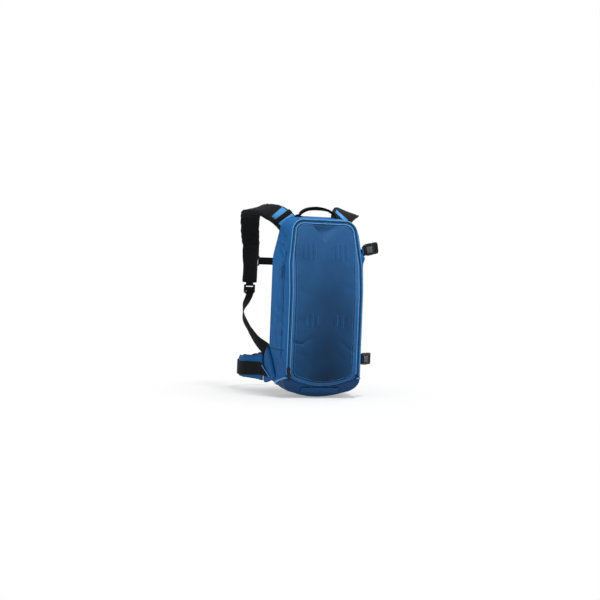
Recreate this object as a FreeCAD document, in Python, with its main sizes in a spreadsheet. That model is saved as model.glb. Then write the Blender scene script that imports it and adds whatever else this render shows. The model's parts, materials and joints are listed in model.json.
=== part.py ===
"""A hydration pack for cycling, as a parametric document.

The frame: +X to the wearer's right, +Y towards the wearer, +Z up.
The origin is the middle of the lumbar pad's contact face, so the wearer's back lies at y = 0.
All lengths are millimetres, all angles degrees.
"""
import FreeCAD
import Part
import Sketcher
import math
import os
from FreeCAD import Placement, Rotation, Vector

doc = FreeCAD.newDocument("hydration_pack")

# ---------------------------------------------------------------- driving sizes
SIZES = (
    # the bag's shell
    ("bag_half_width", 113.0, "bag, half width at the back"),
    ("bag_top", 393.0, "bag, top edge at the back"),
    ("bag_top_half", 88.0, "bag, half width of the top edge"),
    ("front_top_half", 101.0, "bag, half width of the top edge at full depth, before the draw"),
    ("bag_taper_z", 285.0, "bag, height where the sides start to lean in"),
    ("bag_corner_z", -40.0, "bag, height of the bottom corners at the back"),
    ("bag_bottom", -76.0, "bag, lowest point at the back"),
    ("bag_depth", 118.0, "bag, front face from the wearer's back"),
    ("side_draft", 11.0, "bag, how much each side draws in towards the front"),
    ("top_rake", 8.0, "bag, fall of the top and bottom towards the front, degrees"),
    ("crown_start", 200.0, "front face, height where it leans back"),
    ("crown_top", 400.0, "front face, height of the end of the lean"),
    ("crown_depth", 84.0, "front face, depth at the end of the lean"),
    ("chin_start", -28.0, "front face, height where it turns under"),
    ("chin_depth", 62.0, "chin, depth at its low end"),
    ("chin_low", -97.0, "chin, height of its low end"),
    ("shell_wall", 2.6, "padded shell fabric, thickness"),
    ("back_board", 6.0, "foam back panel, thickness"),
    ("top_corner", 45.0, "outline radius at the top corners"),
    ("side_bend", 120.0, "outline radius where the sides lean in"),
    ("bottom_corner", 50.0, "outline radius at the bottom corners"),
    ("bottom_bow", 190.0, "outline radius at the bottom middle"),
    ("chin_round", 40.0, "radius where the front turns under"),
    ("front_bow", 250.0, "radius where the front leans back"),
    ("crown_bend", 200.0, "radius at the top of the lean"),
    ("under_seam_front", -17.0, "bottom panel's seam at the front, height"),
    ("under_seam_back", -56.0, "bottom panel's seam at the back, height"),
    ("crown_half", 66.0, "top gusset, half width"),
    ("crown_low", 330.0, "top gusset, height of its side seams"),
    ("edge_round", 6.0, "radius round the front face"),
    # the front panel and its zip
    ("panel_side", 7.5, "front panel, zip line from the side"),
    ("panel_top", 4.0, "front panel, zip line from the top"),
    ("panel_low", 38.0, "front panel, seam from the bottom outline"),
    ("panel_fold", 6.0, "front panel, height of the fold that it opens at"),
    ("fold_gap", 0.6, "front panel, free height at the fold"),
    ("panel_corner", 28.0, "zip line, radius at the top corners"),
    ("panel_bend", 110.0, "zip line, radius where the sides lean in"),
    ("panel_low_corner", 17.0, "zip line, radius at the lower corners"),
    ("panel_low_bow", 180.0, "zip line, radius at the bottom middle"),
    ("zip_foot", -14.0, "zip, height of its two lower ends"),
    ("zip_gap", 1.4, "zip, free width between the two halves"),
    ("zip_tape", 1.6, "zip, tape thickness"),
    ("zip_body_tape", 3.5, "zip, outer edge of the body tape from the line"),
    ("zip_panel_tape", 5.0, "zip, inner edge of the panel tape from the line"),
    ("slider_long", 12.0, "zip slider, length"),
    ("slider_wide", 9.0, "zip slider, width of the outer plate"),
    ("slider_plate", 1.2, "zip slider, plate thickness"),
    ("pull_long", 26.0, "zip pull, length of the grip"),
    ("pull_wide", 7.0, "zip pull, width of the grip"),
    # pads and frame
    ("pad_thick", 12.0, "back pads, thickness"),
    ("pad_round", 4.0, "back pads, edge radius"),
    ("lumbar_half_width", 80.0, "lumbar pad, half width"),
    ("lumbar_half_high", 40.0, "lumbar pad, half height"),
    ("column_inner", 25.0, "upper back pads, inner edge"),
    ("column_outer", 84.0, "upper back pads, outer edge"),
    ("column_low", 60.0, "upper back pads, low edge"),
    ("column_high", 330.0, "upper back pads, top edge"),
    ("lumbar_corner", 24.0, "lumbar pad, corner radius"),
    ("column_corner", 20.0, "upper back pads, corner radius"),
    ("frame_thick", 1.5, "frame sheet, thickness"),
    ("frame_half_width", 88.0, "frame sheet, half width"),
    ("frame_low", -20.0, "frame sheet, low edge"),
    ("frame_high", 355.0, "frame sheet, top edge"),
    ("frame_corner", 36.0, "frame sheet, corner radius"),
    # shoulder straps
    ("strap_wide", 66.0, "shoulder strap, width over the shoulder"),
    ("strap_narrow", 44.0, "shoulder strap, width at the lower end"),
    ("strap_thick", 12.0, "shoulder strap, thickness"),
    ("strap_x", 113.0, "shoulder strap, distance of the chest run from the middle"),
    ("strap_y", 176.0, "shoulder strap, middle of the chest run from the back"),
    ("strap_end", 205.0, "shoulder strap, height of the lower end"),
    ("rail_radius", 2.0, "sternum rail, rod radius"),
    ("rail_low", 235.0, "sternum rail, low end"),
    ("rail_high", 305.0, "sternum rail, top end"),
    ("rail_stand", 4.8, "sternum rail, rod centre above its base"),
    ("rail_base", 1.6, "sternum rail, base thickness"),
    ("rail_wide", 11.0, "sternum rail, base width"),
    ("sternum_z", 270.0, "sternum strap, height at rest"),
    ("clip_wall", 2.0, "sternum clip, wall"),
    ("clip_high", 16.0, "sternum clip, height"),
    # webbing and buckles
    ("web_thick", 1.5, "webbing, thickness"),
    ("small_web", 20.0, "webbing of the straps, width"),
    ("hip_web", 36.0, "webbing of the hip belt, width"),
    ("small_buckle", 30.0, "small buckle, socket length"),
    ("hip_buckle", 42.0, "hip buckle, socket length"),
    ("small_thick", 9.0, "small buckle, thickness"),
    ("hip_thick", 11.0, "hip buckle, thickness"),
    ("buckle_rim", 5.5, "buckle, from the webbing's edge to the outside"),
    ("buckle_lining", 0.6, "buckle, from the webbing's edge to the cavity's side"),
    ("buckle_floor", 1.8, "buckle, thickness of the top and bottom walls"),
    ("wedge_wide", 34.0, "lower strap wedge, widest"),
    ("wedge_thick", 3.0, "lower strap wedge, thickness"),
    ("lock_long", 26.0, "ladder lock, length"),
    ("lock_thick", 5.0, "ladder lock, thickness"),
    # hip wings
    ("wing_thick", 10.0, "hip wing, thickness"),
    ("wing_root_thick", 6.0, "wing root, thickness"),
    ("root_front", -62.0, "wing root, front edge from the wearer's back"),
    ("wing_high", 32.0, "hip wing, top edge at the root"),
    ("wing_low", -46.0, "hip wing, low edge at the root"),
    ("wing_tip_high", 22.0, "hip wing, top edge at the tip"),
    ("wing_tip_low", -30.0, "hip wing, low edge at the tip"),
    ("wing_pivot_y", 8.7, "hip wing, fold line from the wearer's back"),
    ("belt_gap", 30.0, "hip buckle halves, each from the middle when open"),
    ("belt_y", 198.0, "hip buckle, distance from the wearer's back"),
    ("belt_z", -4.0, "hip webbing, height of its middle"),
    # compression straps
    ("tab_y", 104.0, "compression tab, distance from the wearer's back"),
    ("tab_high_z", 308.0, "upper compression strap, height"),
    ("tab_low_z", 26.0, "lower compression strap, height"),
    ("tab_stand", 7.0, "compression buckle, off the bag's side at its near end"),
    ("rear_seam_y", 22.0, "compression webbing, sewn end from the wearer's back"),
    # grab handle
    ("handle_half", 52.0, "grab handle, foot from the middle"),
    ("handle_y", 27.0, "grab handle, distance from the wearer's back"),
    ("handle_wide", 20.0, "grab handle, webbing width"),
    ("handle_thick", 8.0, "grab handle, thickness of the rolled middle"),
    ("handle_flat", 2.0, "grab handle, thickness of its flat ends"),
    ("handle_rise", 20.0, "grab handle, rise of the middle over the feet"),
    ("foot_thick", 2.0, "grab handle foot, thickness"),
    ("foot_long", 18.0, "grab handle foot, length"),
    # side pocket zip
    ("pocket_low", 156.0, "side pocket zip, low end"),
    ("pocket_high", 270.0, "side pocket zip, top end"),
    ("pocket_y", 82.0, "side pocket zip, distance from the wearer's back"),
    ("pocket_wide", 12.0, "side pocket zip, tape width"),
    ("pocket_tape", 1.2, "side pocket zip, tape thickness"),
    ("coil_wide", 2.6, "side pocket zip, coil width"),
    ("coil_high", 1.3, "side pocket zip, coil height"),
    # inside
    ("reservoir_half_width", 84.0, "reservoir, half width"),
    ("reservoir_low", -10.0, "reservoir, low end"),
    ("reservoir_high", 322.0, "reservoir, top end"),
    ("reservoir_thick", 24.0, "reservoir, thickness"),
    ("reservoir_corner", 34.0, "reservoir, corner radius"),
    ("reservoir_round", 9.0, "reservoir, edge radius"),
    ("cap_z", 286.0, "reservoir cap, height of its centre"),
    ("cap_radius", 29.0, "reservoir cap, outer radius"),
    ("cap_high", 13.0, "reservoir cap, height"),
    ("neck_radius", 25.0, "reservoir neck, outer radius"),
    ("neck_high", 8.0, "reservoir neck, height"),
    ("port_radius", 6.0, "reservoir outlet, body radius"),
    ("outlet_x", 30.0, "reservoir outlet, distance from the middle"),
    ("outlet_rise", 34.0, "reservoir outlet, above the reservoir's low end"),
    ("sleeve_depth", 62.0, "reservoir sleeve, distance from the wearer's back"),
    ("sleeve_high", 236.0, "reservoir sleeve, top edge"),
    ("sleeve_thick", 1.5, "reservoir sleeve, thickness"),
    ("organizer_deep", 12.0, "organizer pocket, depth"),
    ("organizer_high", 150.0, "organizer pocket, top edge"),
    ("organizer_low", -8.0, "organizer pocket, low edge"),
    ("organizer_half", 78.0, "organizer pocket, half width"),
    ("organizer_cloth", 1.2, "organizer pocket, cloth thickness"),
    ("hose_port_z", 332.0, "hose port, height"),
    ("hose_port_y", 40.0, "hose port, distance from the wearer's back"),
    ("hose_port_radius", 11.0, "hose port, hole radius"),
    ("hose_hole_radius", 5.5, "hose port, radius of the way through"),
    # trim
    ("light_loop_half", 52.0, "light loop, half length"),
    ("light_loop_low", -62.0, "light loop, low edge"),
    ("light_loop_high", -47.0, "light loop, top edge"),
    # clearances
    ("seat", 0.3, "gap between pieces that lie on each other"),
    ("slide_gap", 0.4, "running clearance of sliding pieces"),
)

sheet = doc.addObject("Spreadsheet::Sheet", "Sizes")
for row, (alias, value, meaning) in enumerate(SIZES, 1):
    sheet.set(f"A{row}", meaning)
    sheet.set(f"B{row}", str(value))
    sheet.setAlias(f"B{row}", alias)
doc.recompute()


def size(alias):
    """The value of one cell of the sheet."""
    return float(sheet.get(alias))


BACK_Y = -size("pad_thick")
BOARD_Y = BACK_Y - size("back_board")
FRONT_Y = -size("bag_depth")
FRAME_Y = BOARD_Y - size("frame_thick")
RAKE = math.tan(math.radians(size("top_rake")))
REACH = 400.0  # longer than any piece, for cutting tools
X_AXIS = Vector(1, 0, 0)
Y_AXIS = Vector(0, 1, 0)
Z_AXIS = Vector(0, 0, 1)

nodes = []


# ---------------------------------------------------------------- helpers for shapes
def keep(label, shape):
    """Adds a computed solid as a sub-part of the document."""
    feature = doc.addObject("Part::Feature", label)
    feature.Label = label
    solids = shape.Solids
    feature.Shape = solids[0] if len(solids) == 1 else Part.makeCompound(solids)
    nodes.append(feature)
    return feature


def in_xz(y):
    return lambda a, b: Vector(a, y, b)


def in_yz(x):
    return lambda a, b: Vector(x, a, b)


def in_xy(z):
    return lambda a, b: Vector(a, b, z)


def inset_corners(points, distances):
    """The corners of a clockwise polygon after each of its edges moves in by its own distance."""
    count = len(points)
    lines = []
    for i, distance in enumerate(distances):
        start = Vector(*points[i], 0)
        along = (Vector(*points[(i + 1) % count], 0) - start).normalize()
        inward = Vector(along.y, -along.x, 0)
        lines.append((start + inward * distance, along))
    corners = []
    for i in range(count):
        (p, u), (q, v) = lines[i - 1], lines[i]
        step = ((q - p).x * v.y - (q - p).y * v.x) / (u.x * v.y - u.y * v.x)
        corners.append(((p + u * step).x, (p + u * step).y))
    return corners


def rounded(points, radii, place):
    """A closed wire through the corners, each one rounded with a tangent arc."""
    count = len(points)
    arcs = []
    for i, radius in enumerate(radii):
        corner = Vector(*points[i], 0)
        back = (Vector(*points[i - 1], 0) - corner).normalize()
        ahead = (Vector(*points[(i + 1) % count], 0) - corner).normalize()
        half = back.getAngle(ahead) / 2
        reach = radius / math.tan(half)
        middle = corner + (back + ahead).normalize() * (radius / math.sin(half) - radius)
        arcs.append([place(p.x, p.y) for p in (corner + back * reach, middle, corner + ahead * reach)])
    edges = []
    for i, arc in enumerate(arcs):
        following = arcs[(i + 1) % count][0]
        edges.append(Part.Arc(*arc).toShape())
        edges.append(Part.LineSegment(arc[2], following).toShape())
    return Part.Wire(edges)


def polygon_face(points, place):
    corners = [place(a, b) for a, b in points]
    return Part.Face(Part.makePolygon(corners + corners[:1]))


def block(x, y, z):
    """A box between the given pairs of limits."""
    low = Vector(min(x), min(y), min(z))
    return Part.makeBox(abs(x[1] - x[0]), abs(y[1] - y[0]), abs(z[1] - z[0]), low)


def mirrored(shape):
    """The same shape on the other side of the pack."""
    return shape.mirror(Vector(0, 0, 0), X_AXIS)


def ribbon(stations):
    """A smooth band through stations of (centre, across, width, thickness).

    A fifth value gives the band's direction at that station.
    """
    centres = [Vector(*station[0]) for station in stations]
    last = len(stations) - 1
    sections = []
    for i, station in enumerate(stations):
        ahead = centres[min(i + 1, last)] - centres[max(i - 1, 0)]
        ahead = Vector(*station[4]) if len(station) > 4 else ahead
        ahead.normalize()
        across = Vector(*station[1])
        across = (across - ahead * across.dot(ahead)).normalize()
        normal = ahead.cross(across)
        side = across * (station[2] / 2)
        rise = normal * (station[3] / 2)
        corners = [centres[i] + side + rise, centres[i] - side + rise]
        corners += [centres[i] - side - rise, centres[i] + side - rise]
        sections.append(Part.makePolygon(corners + corners[:1]))
    return Part.makeLoft(sections, True, False)


def plan_band(path, thick, low, high):
    """A wall that follows a path in plan, with its right-hand face on the path."""
    points = [Vector(*p, 0) for p in path]
    outer = []
    for i, point in enumerate(points):
        back = (point - points[i - 1]).normalize() if i else None
        ahead = (points[i + 1] - point).normalize() if i < len(points) - 1 else None
        along = ((back or ahead) + (ahead or back)).normalize()
        normal = Vector(-along.y, along.x, 0)
        edge = ahead or back
        stretch = 1 / normal.dot(Vector(-edge.y, edge.x, 0))
        outer.append(point + normal * (thick * stretch))
    corners = [(p.x, p.y) for p in points] + [(p.x, p.y) for p in reversed(outer)]
    return polygon_face(corners, in_xy(low)).extrude(Vector(0, 0, high - low))


# ---------------------------------------------------------------- helpers for bodies
def new_body(label):
    body = doc.addObject("PartDesign::Body", label)
    body.Label = label
    nodes.append(body)
    return body


def new_sketch(body, plane, name):
    sketch = body.newObject("Sketcher::SketchObject", name)
    origin = next(f for f in body.Origin.OriginFeatures if f.Role == plane)
    sketch.AttachmentSupport = [(origin, "")]
    sketch.MapMode = "FlatFace"
    return sketch


def number(expression):
    return float(sheet.evalExpression(expression))


def bind(sketch, kind, *geometry_and_value):
    """Adds a dimension and ties it to an expression on the sheet."""
    *geometry, expression = geometry_and_value
    index = sketch.addConstraint(Sketcher.Constraint(kind, *geometry, number(expression)))
    sketch.setExpression(f"Constraints[{index}]", expression)


def outline(sketch, points):
    """A closed polygon whose corners lie at pairs of expressions."""
    first = sketch.GeometryCount
    places = [Vector(number(a), number(b), 0) for a, b in points]
    count = len(points)
    for i in range(count):
        sketch.addGeometry(Part.LineSegment(places[i], places[(i + 1) % count]), False)
    for i in range(count):
        line = first + i
        following = first + (i + 1) % count
        sketch.addConstraint(Sketcher.Constraint("Coincident", line, 2, following, 1))
        bind(sketch, "DistanceX", -1, 1, line, 1, points[i][0])
        bind(sketch, "DistanceY", -1, 1, line, 1, points[i][1])


def oblong(sketch, left, right, low, high):
    """A rectangle between four expressions."""
    outline(sketch, [(left, low), (right, low), (right, high), (left, high)])


def ring(sketch, x, y, radius):
    """A circle at a pair of expressions."""
    middle = Vector(number(x), number(y), 0)
    circle = sketch.addGeometry(Part.Circle(middle, Z_AXIS, number(radius)), False)
    bind(sketch, "DistanceX", -1, 1, circle, 3, x)
    bind(sketch, "DistanceY", -1, 1, circle, 3, y)
    bind(sketch, "Radius", circle, radius)


def pad(body, sketch, length, middle=True):
    feature = body.newObject("PartDesign::Pad", sketch.Name + "_pad")
    feature.Profile = sketch
    feature.Midplane = middle
    feature.setExpression("Length", length)
    return feature


def pocket(body, sketch, length=None, middle=True):
    """Cuts a sketch out of its body, and checks that it did."""
    doc.recompute()
    before = body.Shape.Volume
    feature = body.newObject("PartDesign::Pocket", sketch.Name + "_cut")
    feature.Profile = sketch
    feature.Midplane = middle
    feature.setExpression("Length", length or "400")
    doc.recompute()
    if body.Shape.Volume > before - 1e-6:
        feature.Reversed = not feature.Reversed
        doc.recompute()
    if body.Shape.Volume > before - 1e-6:
        raise RuntimeError(f"{feature.Name} cuts nothing")
    return feature


def soften(body, radius, chosen, kind="Fillet"):
    """Rounds or bevels the edges of the body's tip that pass the test."""
    doc.recompute()
    base = body.Tip
    edges = [f"Edge{i}" for i, edge in enumerate(base.Shape.Edges, 1) if chosen(edge)]
    feature = body.newObject(f"PartDesign::{kind}", f"{body.Name}_{kind}{len(body.Group)}")
    feature.Base = (base, edges)
    feature.setExpression("Radius" if kind == "Fillet" else "Size", radius)
    doc.recompute()
    return feature


def runs_along(edge, axis):
    ends = [vertex.Point for vertex in edge.Vertexes]
    if len(ends) < 2 or edge.Curve.TypeId != "Part::GeomLine":
        return False
    return abs((ends[1] - ends[0]).normalize().dot(axis)) > 0.999


def frame_at(origin, along, up):
    """A placement whose X runs along and whose Z lies nearest to up."""
    return Placement(origin, Rotation(along, Vector(), up, "XZY"))


# ---------------------------------------------------------------- the bag's form
BACK_OUTLINE = [
    (-size("bag_top_half"), size("bag_top")),
    (size("bag_top_half"), size("bag_top")),
    (size("bag_half_width"), size("bag_taper_z")),
    (size("bag_half_width"), size("bag_corner_z")),
    (0.0, size("bag_bottom")),
    (-size("bag_half_width"), size("bag_corner_z")),
    (-size("bag_half_width"), size("bag_taper_z")),
]
OUTLINE_RADII = [size(name) for name in ("top_corner", "top_corner", "side_bend")]
OUTLINE_RADII += [size(name) for name in ("bottom_corner", "bottom_bow", "bottom_corner", "side_bend")]
FORM_REACH = size("bag_depth") - size("pad_thick") + 12.0
SIDE_PROFILE = [
    (BACK_Y, size("chin_low") - 15),
    (-size("chin_depth"), size("chin_low")),
    (FRONT_Y, size("chin_start")),
    (FRONT_Y, size("crown_start")),
    (-size("crown_depth"), size("crown_top")),
    (-size("crown_depth") + 6, size("crown_top") + 40),
    (BACK_Y, size("crown_top") + 40),
]
SHARP = 0.5  # radius of corners that lie outside the bag
PROFILE_RADII = [SHARP, 5.0, size("chin_round"), size("front_bow"), size("crown_bend"), SHARP, SHARP]


def outline_at(depth, margins=(0, 0, 0, 0, 0, 0, 0)):
    """The bag's corners at a depth behind its back plane, after the margins from each edge."""
    share = depth / FORM_REACH
    draw = size("side_draft") * share
    sides = [0, draw, draw, 0, 0, draw, draw]
    insets = [side + margin for side, margin in zip(sides, margins)]
    spread = (size("front_top_half") - size("bag_top_half")) * share
    (left, top), (right, _) = BACK_OUTLINE[:2]
    corners = [(left - spread, top), (right + spread, top)] + BACK_OUTLINE[2:]
    return [(x, z - depth * RAKE) for x, z in inset_corners(corners, insets)]


def bag_form(inset):
    """The solid form of the bag, drawn in by a distance all round."""
    radii = [radius - inset for radius in OUTLINE_RADII]
    margins = [inset] * len(BACK_OUTLINE)
    rear = rounded(outline_at(0, margins), radii, in_xz(BACK_Y))
    front = rounded(outline_at(FORM_REACH, margins), radii, in_xz(BACK_Y - FORM_REACH))
    body = Part.makeLoft([rear, front], True, True)
    profile = rounded(SIDE_PROFILE, PROFILE_RADII, in_yz(-REACH / 2))
    profile = profile.makeOffset2D(-inset) if inset else profile
    bar = Part.Face(profile).extrude(Vector(REACH, 0, 0))
    form = body.common(bar)
    skins = [Part.makeShell(body.Faces), Part.makeShell(bar.Faces)]
    edges = []
    for edge in form.Edges:
        span = edge.LastParameter - edge.FirstParameter
        probes = [Part.Vertex(edge.valueAt(edge.FirstParameter + span * s)) for s in (0.3, 0.6)]
        on_both = all(probe.distToShape(skin)[0] < 1e-3 for probe in probes for skin in skins)
        if on_both and probes[0].Y < BOARD_Y:
            edges.append(edge)
    return form.makeFillet(size("edge_round") - inset, edges)


def front_prism(offset, near=BACK_Y - 58):
    """A bar along Y with the zip line's outline, larger by the offset."""
    side, top, low = (size(name) for name in ("panel_side", "panel_top", "panel_low"))
    depth = size("bag_depth") - size("pad_thick")
    lean = (depth - size("crown_depth") + size("pad_thick")) * RAKE
    margins = [top - lean, side, side, low, low, side, side]
    corners = outline_at(depth, margins)
    names = ("corner", "corner", "bend", "low_corner", "low_bow", "low_corner", "bend")
    radii = [size("panel_" + name) for name in names]
    wire = rounded(corners, radii, in_xz(near))
    wire = wire.makeOffset2D(offset) if offset else wire
    return Part.Face(wire).extrude(Vector(0, -REACH / 2, 0))


WALL = size("shell_wall")
outer_form = bag_form(0)
shell = outer_form.cut(bag_form(WALL))
shell_front = shell.common(block((-REACH, REACH), (-REACH, BOARD_Y), (-REACH, 2 * REACH)))

# the tapes lie in the middle of the wall
skin_depth = (WALL - size("zip_tape")) / 2
tape_layer = bag_form(skin_depth).cut(bag_form(WALL - skin_depth))
half_gap = size("zip_gap") / 2
opening = front_prism(size("zip_body_tape"))
panel_area = front_prism(-size("zip_panel_tape"))
line_inside = front_prism(-half_gap)
line_outside = front_prism(half_gap)

FOLD = size("panel_fold")
above_fold = block((-REACH, REACH), (-REACH, 0), (FOLD, 2 * REACH))
below_fold = block((-REACH, REACH), (-REACH, 0), (-REACH, FOLD - size("fold_gap")))
above_foot = block((-REACH, REACH), (-REACH, 0), (size("zip_foot"), 2 * REACH))
below_foot = block((-REACH, REACH), (-REACH, 0), (-REACH, size("zip_foot")))

keep("front_panel", shell_front.common(panel_area).common(above_fold))
panel_tape = tape_layer.common(line_inside).cut(panel_area).common(above_fold)
keep("zip_tape_panel", panel_tape)
hem = shell_front.common(line_inside.common(above_foot).fuse(opening.common(below_foot)))
keep("front_panel_hem", hem.common(below_fold))
body_tape = tape_layer.common(opening).cut(line_outside).common(above_foot)
keep("zip_tape_body", body_tape)

frame_shell = shell_front.cut(opening)
seam_line = [(FRONT_Y - 20, size("under_seam_front")), (BACK_Y + 20, size("under_seam_back"))]
seam_line += [(BACK_Y + 20, -REACH), (FRONT_Y - 20, -REACH)]
under = polygon_face(seam_line, in_yz(-REACH)).extrude(Vector(2 * REACH, 0, 0))
crown_half = size("crown_half")
crown = block((-crown_half, crown_half), (-REACH, 0), (size("crown_low"), 2 * REACH))
keep("bottom_panel", frame_shell.common(under))
upper_shell = frame_shell.cut(under)
keep("top_gusset", upper_shell.common(crown))
gussets = upper_shell.cut(crown)
right_half = block((0, REACH), (-REACH, REACH), (-REACH, 2 * REACH))
side_gusset_right = gussets.common(right_half)
side_gusset_left = mirrored(side_gusset_right)

back_slab = block((-REACH, REACH), (BOARD_Y, BACK_Y), (-REACH, 2 * REACH))
keep("back_panel", outer_form.common(back_slab))


# ---------------------------------------------------------------- pads and frame sheet
def slab(label, x, z, thick, corner, y, rim=None, rim_y=0.0):
    """A body between pairs of limits: its back face lies at y, its corners are round.

    The rim is the radius round the face that lies rim_y from the back face.
    """
    body = new_body(label)
    face = new_sketch(body, "XZ_Plane", label + "_face")
    oblong(face, *x, *z)
    pad(body, face, thick, middle=False)
    soften(body, corner, lambda e: runs_along(e, Y_AXIS))
    if rim:
        soften(body, rim, lambda e: all(abs(v.Y - rim_y) < 1e-6 for v in e.Vertexes))
    body.Placement = Placement(Vector(0, y, 0), Rotation())
    return body


lumbar_x = ("-Sizes.lumbar_half_width", "Sizes.lumbar_half_width")
lumbar_z = ("-Sizes.lumbar_half_high", "Sizes.lumbar_half_high")
slab("lumbar_pad", lumbar_x, lumbar_z, "Sizes.pad_thick", "Sizes.lumbar_corner", 0, "Sizes.pad_round")
column_z = ("Sizes.column_low", "Sizes.column_high")
for name, column_x in (
    ("right", ("Sizes.column_inner", "Sizes.column_outer")),
    ("left", ("-Sizes.column_outer", "-Sizes.column_inner")),
):
    rim = "Sizes.pad_round"
    slab("back_pad_" + name, column_x, column_z, "Sizes.pad_thick", "Sizes.column_corner", 0, rim)

frame_x = ("-Sizes.frame_half_width", "Sizes.frame_half_width")
frame_z = ("Sizes.frame_low", "Sizes.frame_high")
slab("frame_sheet", frame_x, frame_z, "Sizes.frame_thick", "Sizes.frame_corner", BOARD_Y)


# ---------------------------------------------------------------- reservoir and inner pockets
RESERVOIR_Y = FRAME_Y - size("reservoir_thick")
reservoir_x = ("-Sizes.reservoir_half_width", "Sizes.reservoir_half_width")
reservoir_z = ("Sizes.reservoir_low", "Sizes.reservoir_high")
slab(
    "reservoir", reservoir_x, reservoir_z, "Sizes.reservoir_thick", "Sizes.reservoir_corner", FRAME_Y,
    "Sizes.reservoir_round", -size("reservoir_thick"),
)


def reservoir_neck():
    """The screw neck of the reservoir: a flange, a tube and two turns of thread."""
    body = new_body("reservoir_neck")
    sketch = new_sketch(body, "XZ_Plane", "neck_profile")
    bore = "Sizes.neck_radius - 3"
    flange = "Sizes.cap_radius + 2"
    outline(sketch, [
        (bore, "0"), (flange, "0"), (flange, "1.2"), ("Sizes.neck_radius - 0.8", "1.2"),
        ("Sizes.neck_radius - 0.8", "2.6"), ("Sizes.neck_radius", "3.2"), ("Sizes.neck_radius", "4"),
        ("Sizes.neck_radius - 0.8", "4.6"), ("Sizes.neck_radius - 0.8", "5.8"),
        ("Sizes.neck_radius", "6.4"), ("Sizes.neck_radius", "7.2"),
        ("Sizes.neck_radius - 0.8", "Sizes.neck_high"), (bore, "Sizes.neck_high"),
    ])
    turn = body.newObject("PartDesign::Revolution", "neck_turn")
    turn.Profile = sketch
    turn.ReferenceAxis = (sketch, ["V_Axis"])
    turn.Angle = 360
    return body


def reservoir_cap():
    """The screw cap: a closed disc with a skirt, grip lobes round it and a pull bar across it."""
    body = new_body("reservoir_cap")
    skirt = "Sizes.neck_radius + Sizes.seat"
    low = "1.2 + Sizes.seat"
    roof = "Sizes.neck_high + Sizes.seat"
    top = "Sizes.cap_high"
    sketch = new_sketch(body, "XZ_Plane", "cap_profile")
    outline(sketch, [
        ("0", roof), (skirt, roof), (skirt, low), ("Sizes.cap_radius", low),
        ("Sizes.cap_radius", top + " - 3"), ("Sizes.cap_radius - 2", top + " - 1"), ("0", top + " - 1"),
    ])
    turn = body.newObject("PartDesign::Revolution", "cap_turn")
    turn.Profile = sketch
    turn.ReferenceAxis = (sketch, ["V_Axis"])
    turn.Angle = 360
    scoop = new_sketch(body, "XY_Plane", "grip_scoop")
    ring(scoop, "Sizes.cap_radius + 2.2", "0", "4")
    cut = pocket(body, scoop)
    lobes = body.newObject("PartDesign::PolarPattern", "grip_lobes")
    lobes.Originals = [cut]
    lobes.Axis = (scoop, ["N_Axis"])
    lobes.Angle = 360
    lobes.Occurrences = 12
    body.Tip = lobes
    bar = new_sketch(body, "XY_Plane", "pull_bar")
    bar.setExpression("AttachmentOffset.Base.z", top + " - 1.5")
    oblong(bar, "-Sizes.cap_radius + 6", "Sizes.cap_radius - 6", "-3", "3")
    pad(body, bar, "5.5", middle=False)
    return body


neck_at = frame_at(Vector(0, RESERVOIR_Y, size("cap_z")), X_AXIS, -Y_AXIS)
reservoir_neck().Placement = neck_at
reservoir_cap().Placement = neck_at


def reservoir_outlet():
    """The outlet near the bladder's low end: a base, an elbow body and the nipple for the tube."""
    body = new_body("reservoir_outlet")
    base = new_sketch(body, "XY_Plane", "outlet_base")
    ring(base, "0", "0", "Sizes.port_radius + 6")
    pad(body, base, "2", middle=False)
    stem = new_sketch(body, "XY_Plane", "outlet_stem")
    ring(stem, "0", "0", "Sizes.port_radius")
    pad(body, stem, "11", middle=False)
    nipple = new_sketch(body, "YZ_Plane", "outlet_nipple")
    ring(nipple, "0", "6.5", "3.6")
    pad(body, nipple, "20", middle=False)
    bore = new_sketch(body, "YZ_Plane", "outlet_bore")
    ring(bore, "0", "6.5", "2.2")
    pocket(body, bore, "25", middle=False)
    return body


outlet_at = Vector(size("outlet_x"), RESERVOIR_Y, size("reservoir_low") + size("outlet_rise"))
reservoir_outlet().Placement = frame_at(outlet_at, X_AXIS, -Y_AXIS)

inner_form = bag_form(WALL + size("seat"))
SLEEVE_Y = -size("sleeve_depth")
sleeve_thick = size("sleeve_thick")
sleeve_slab = block((-REACH, REACH), (SLEEVE_Y - sleeve_thick, SLEEVE_Y), (-REACH, size("sleeve_high")))
keep("reservoir_sleeve", inner_form.common(sleeve_slab))


def organizer_pocket():
    """A flat pouch on the sleeve, open at the top."""
    half = "Sizes.organizer_half"
    cloth = "Sizes.organizer_cloth"
    high = "Sizes.organizer_high"
    body = slab(
        "organizer_pocket", ("-" + half, half), ("Sizes.organizer_low", high), "Sizes.organizer_deep", "12",
        SLEEVE_Y - sleeve_thick,
    )
    hollow = new_sketch(body, "XZ_Plane", "pouch_hollow")
    oblong(hollow, f"{cloth} - {half}", f"{half} - {cloth}", f"Sizes.organizer_low + {cloth}", high + " + 1")
    pocket(body, hollow, f"2 * (Sizes.organizer_deep - {cloth})")


organizer_pocket()


def hang_hook():
    """The hook that carries the reservoir: a plate on the frame sheet with a folded nose."""
    body = new_body("hang_hook")
    side = new_sketch(body, "YZ_Plane", "hook_side")
    outline(side, [
        ("0", "-16"), ("-2", "-16"), ("-2", "-6"), ("-10", "-6"), ("-10", "4"), ("-8", "4"),
        ("-8", "-4"), ("-2", "-4"), ("-2", "14"), ("0", "14"),
    ])
    pad(body, side, "24")
    soften(body, "2", lambda e: runs_along(e, Y_AXIS) and abs(e.CenterOfMass.z) > 12)
    return body


hang_hook().Placement = Placement(Vector(0, FRAME_Y, size("reservoir_high") + 16 + size("seat")), Rotation())


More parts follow.
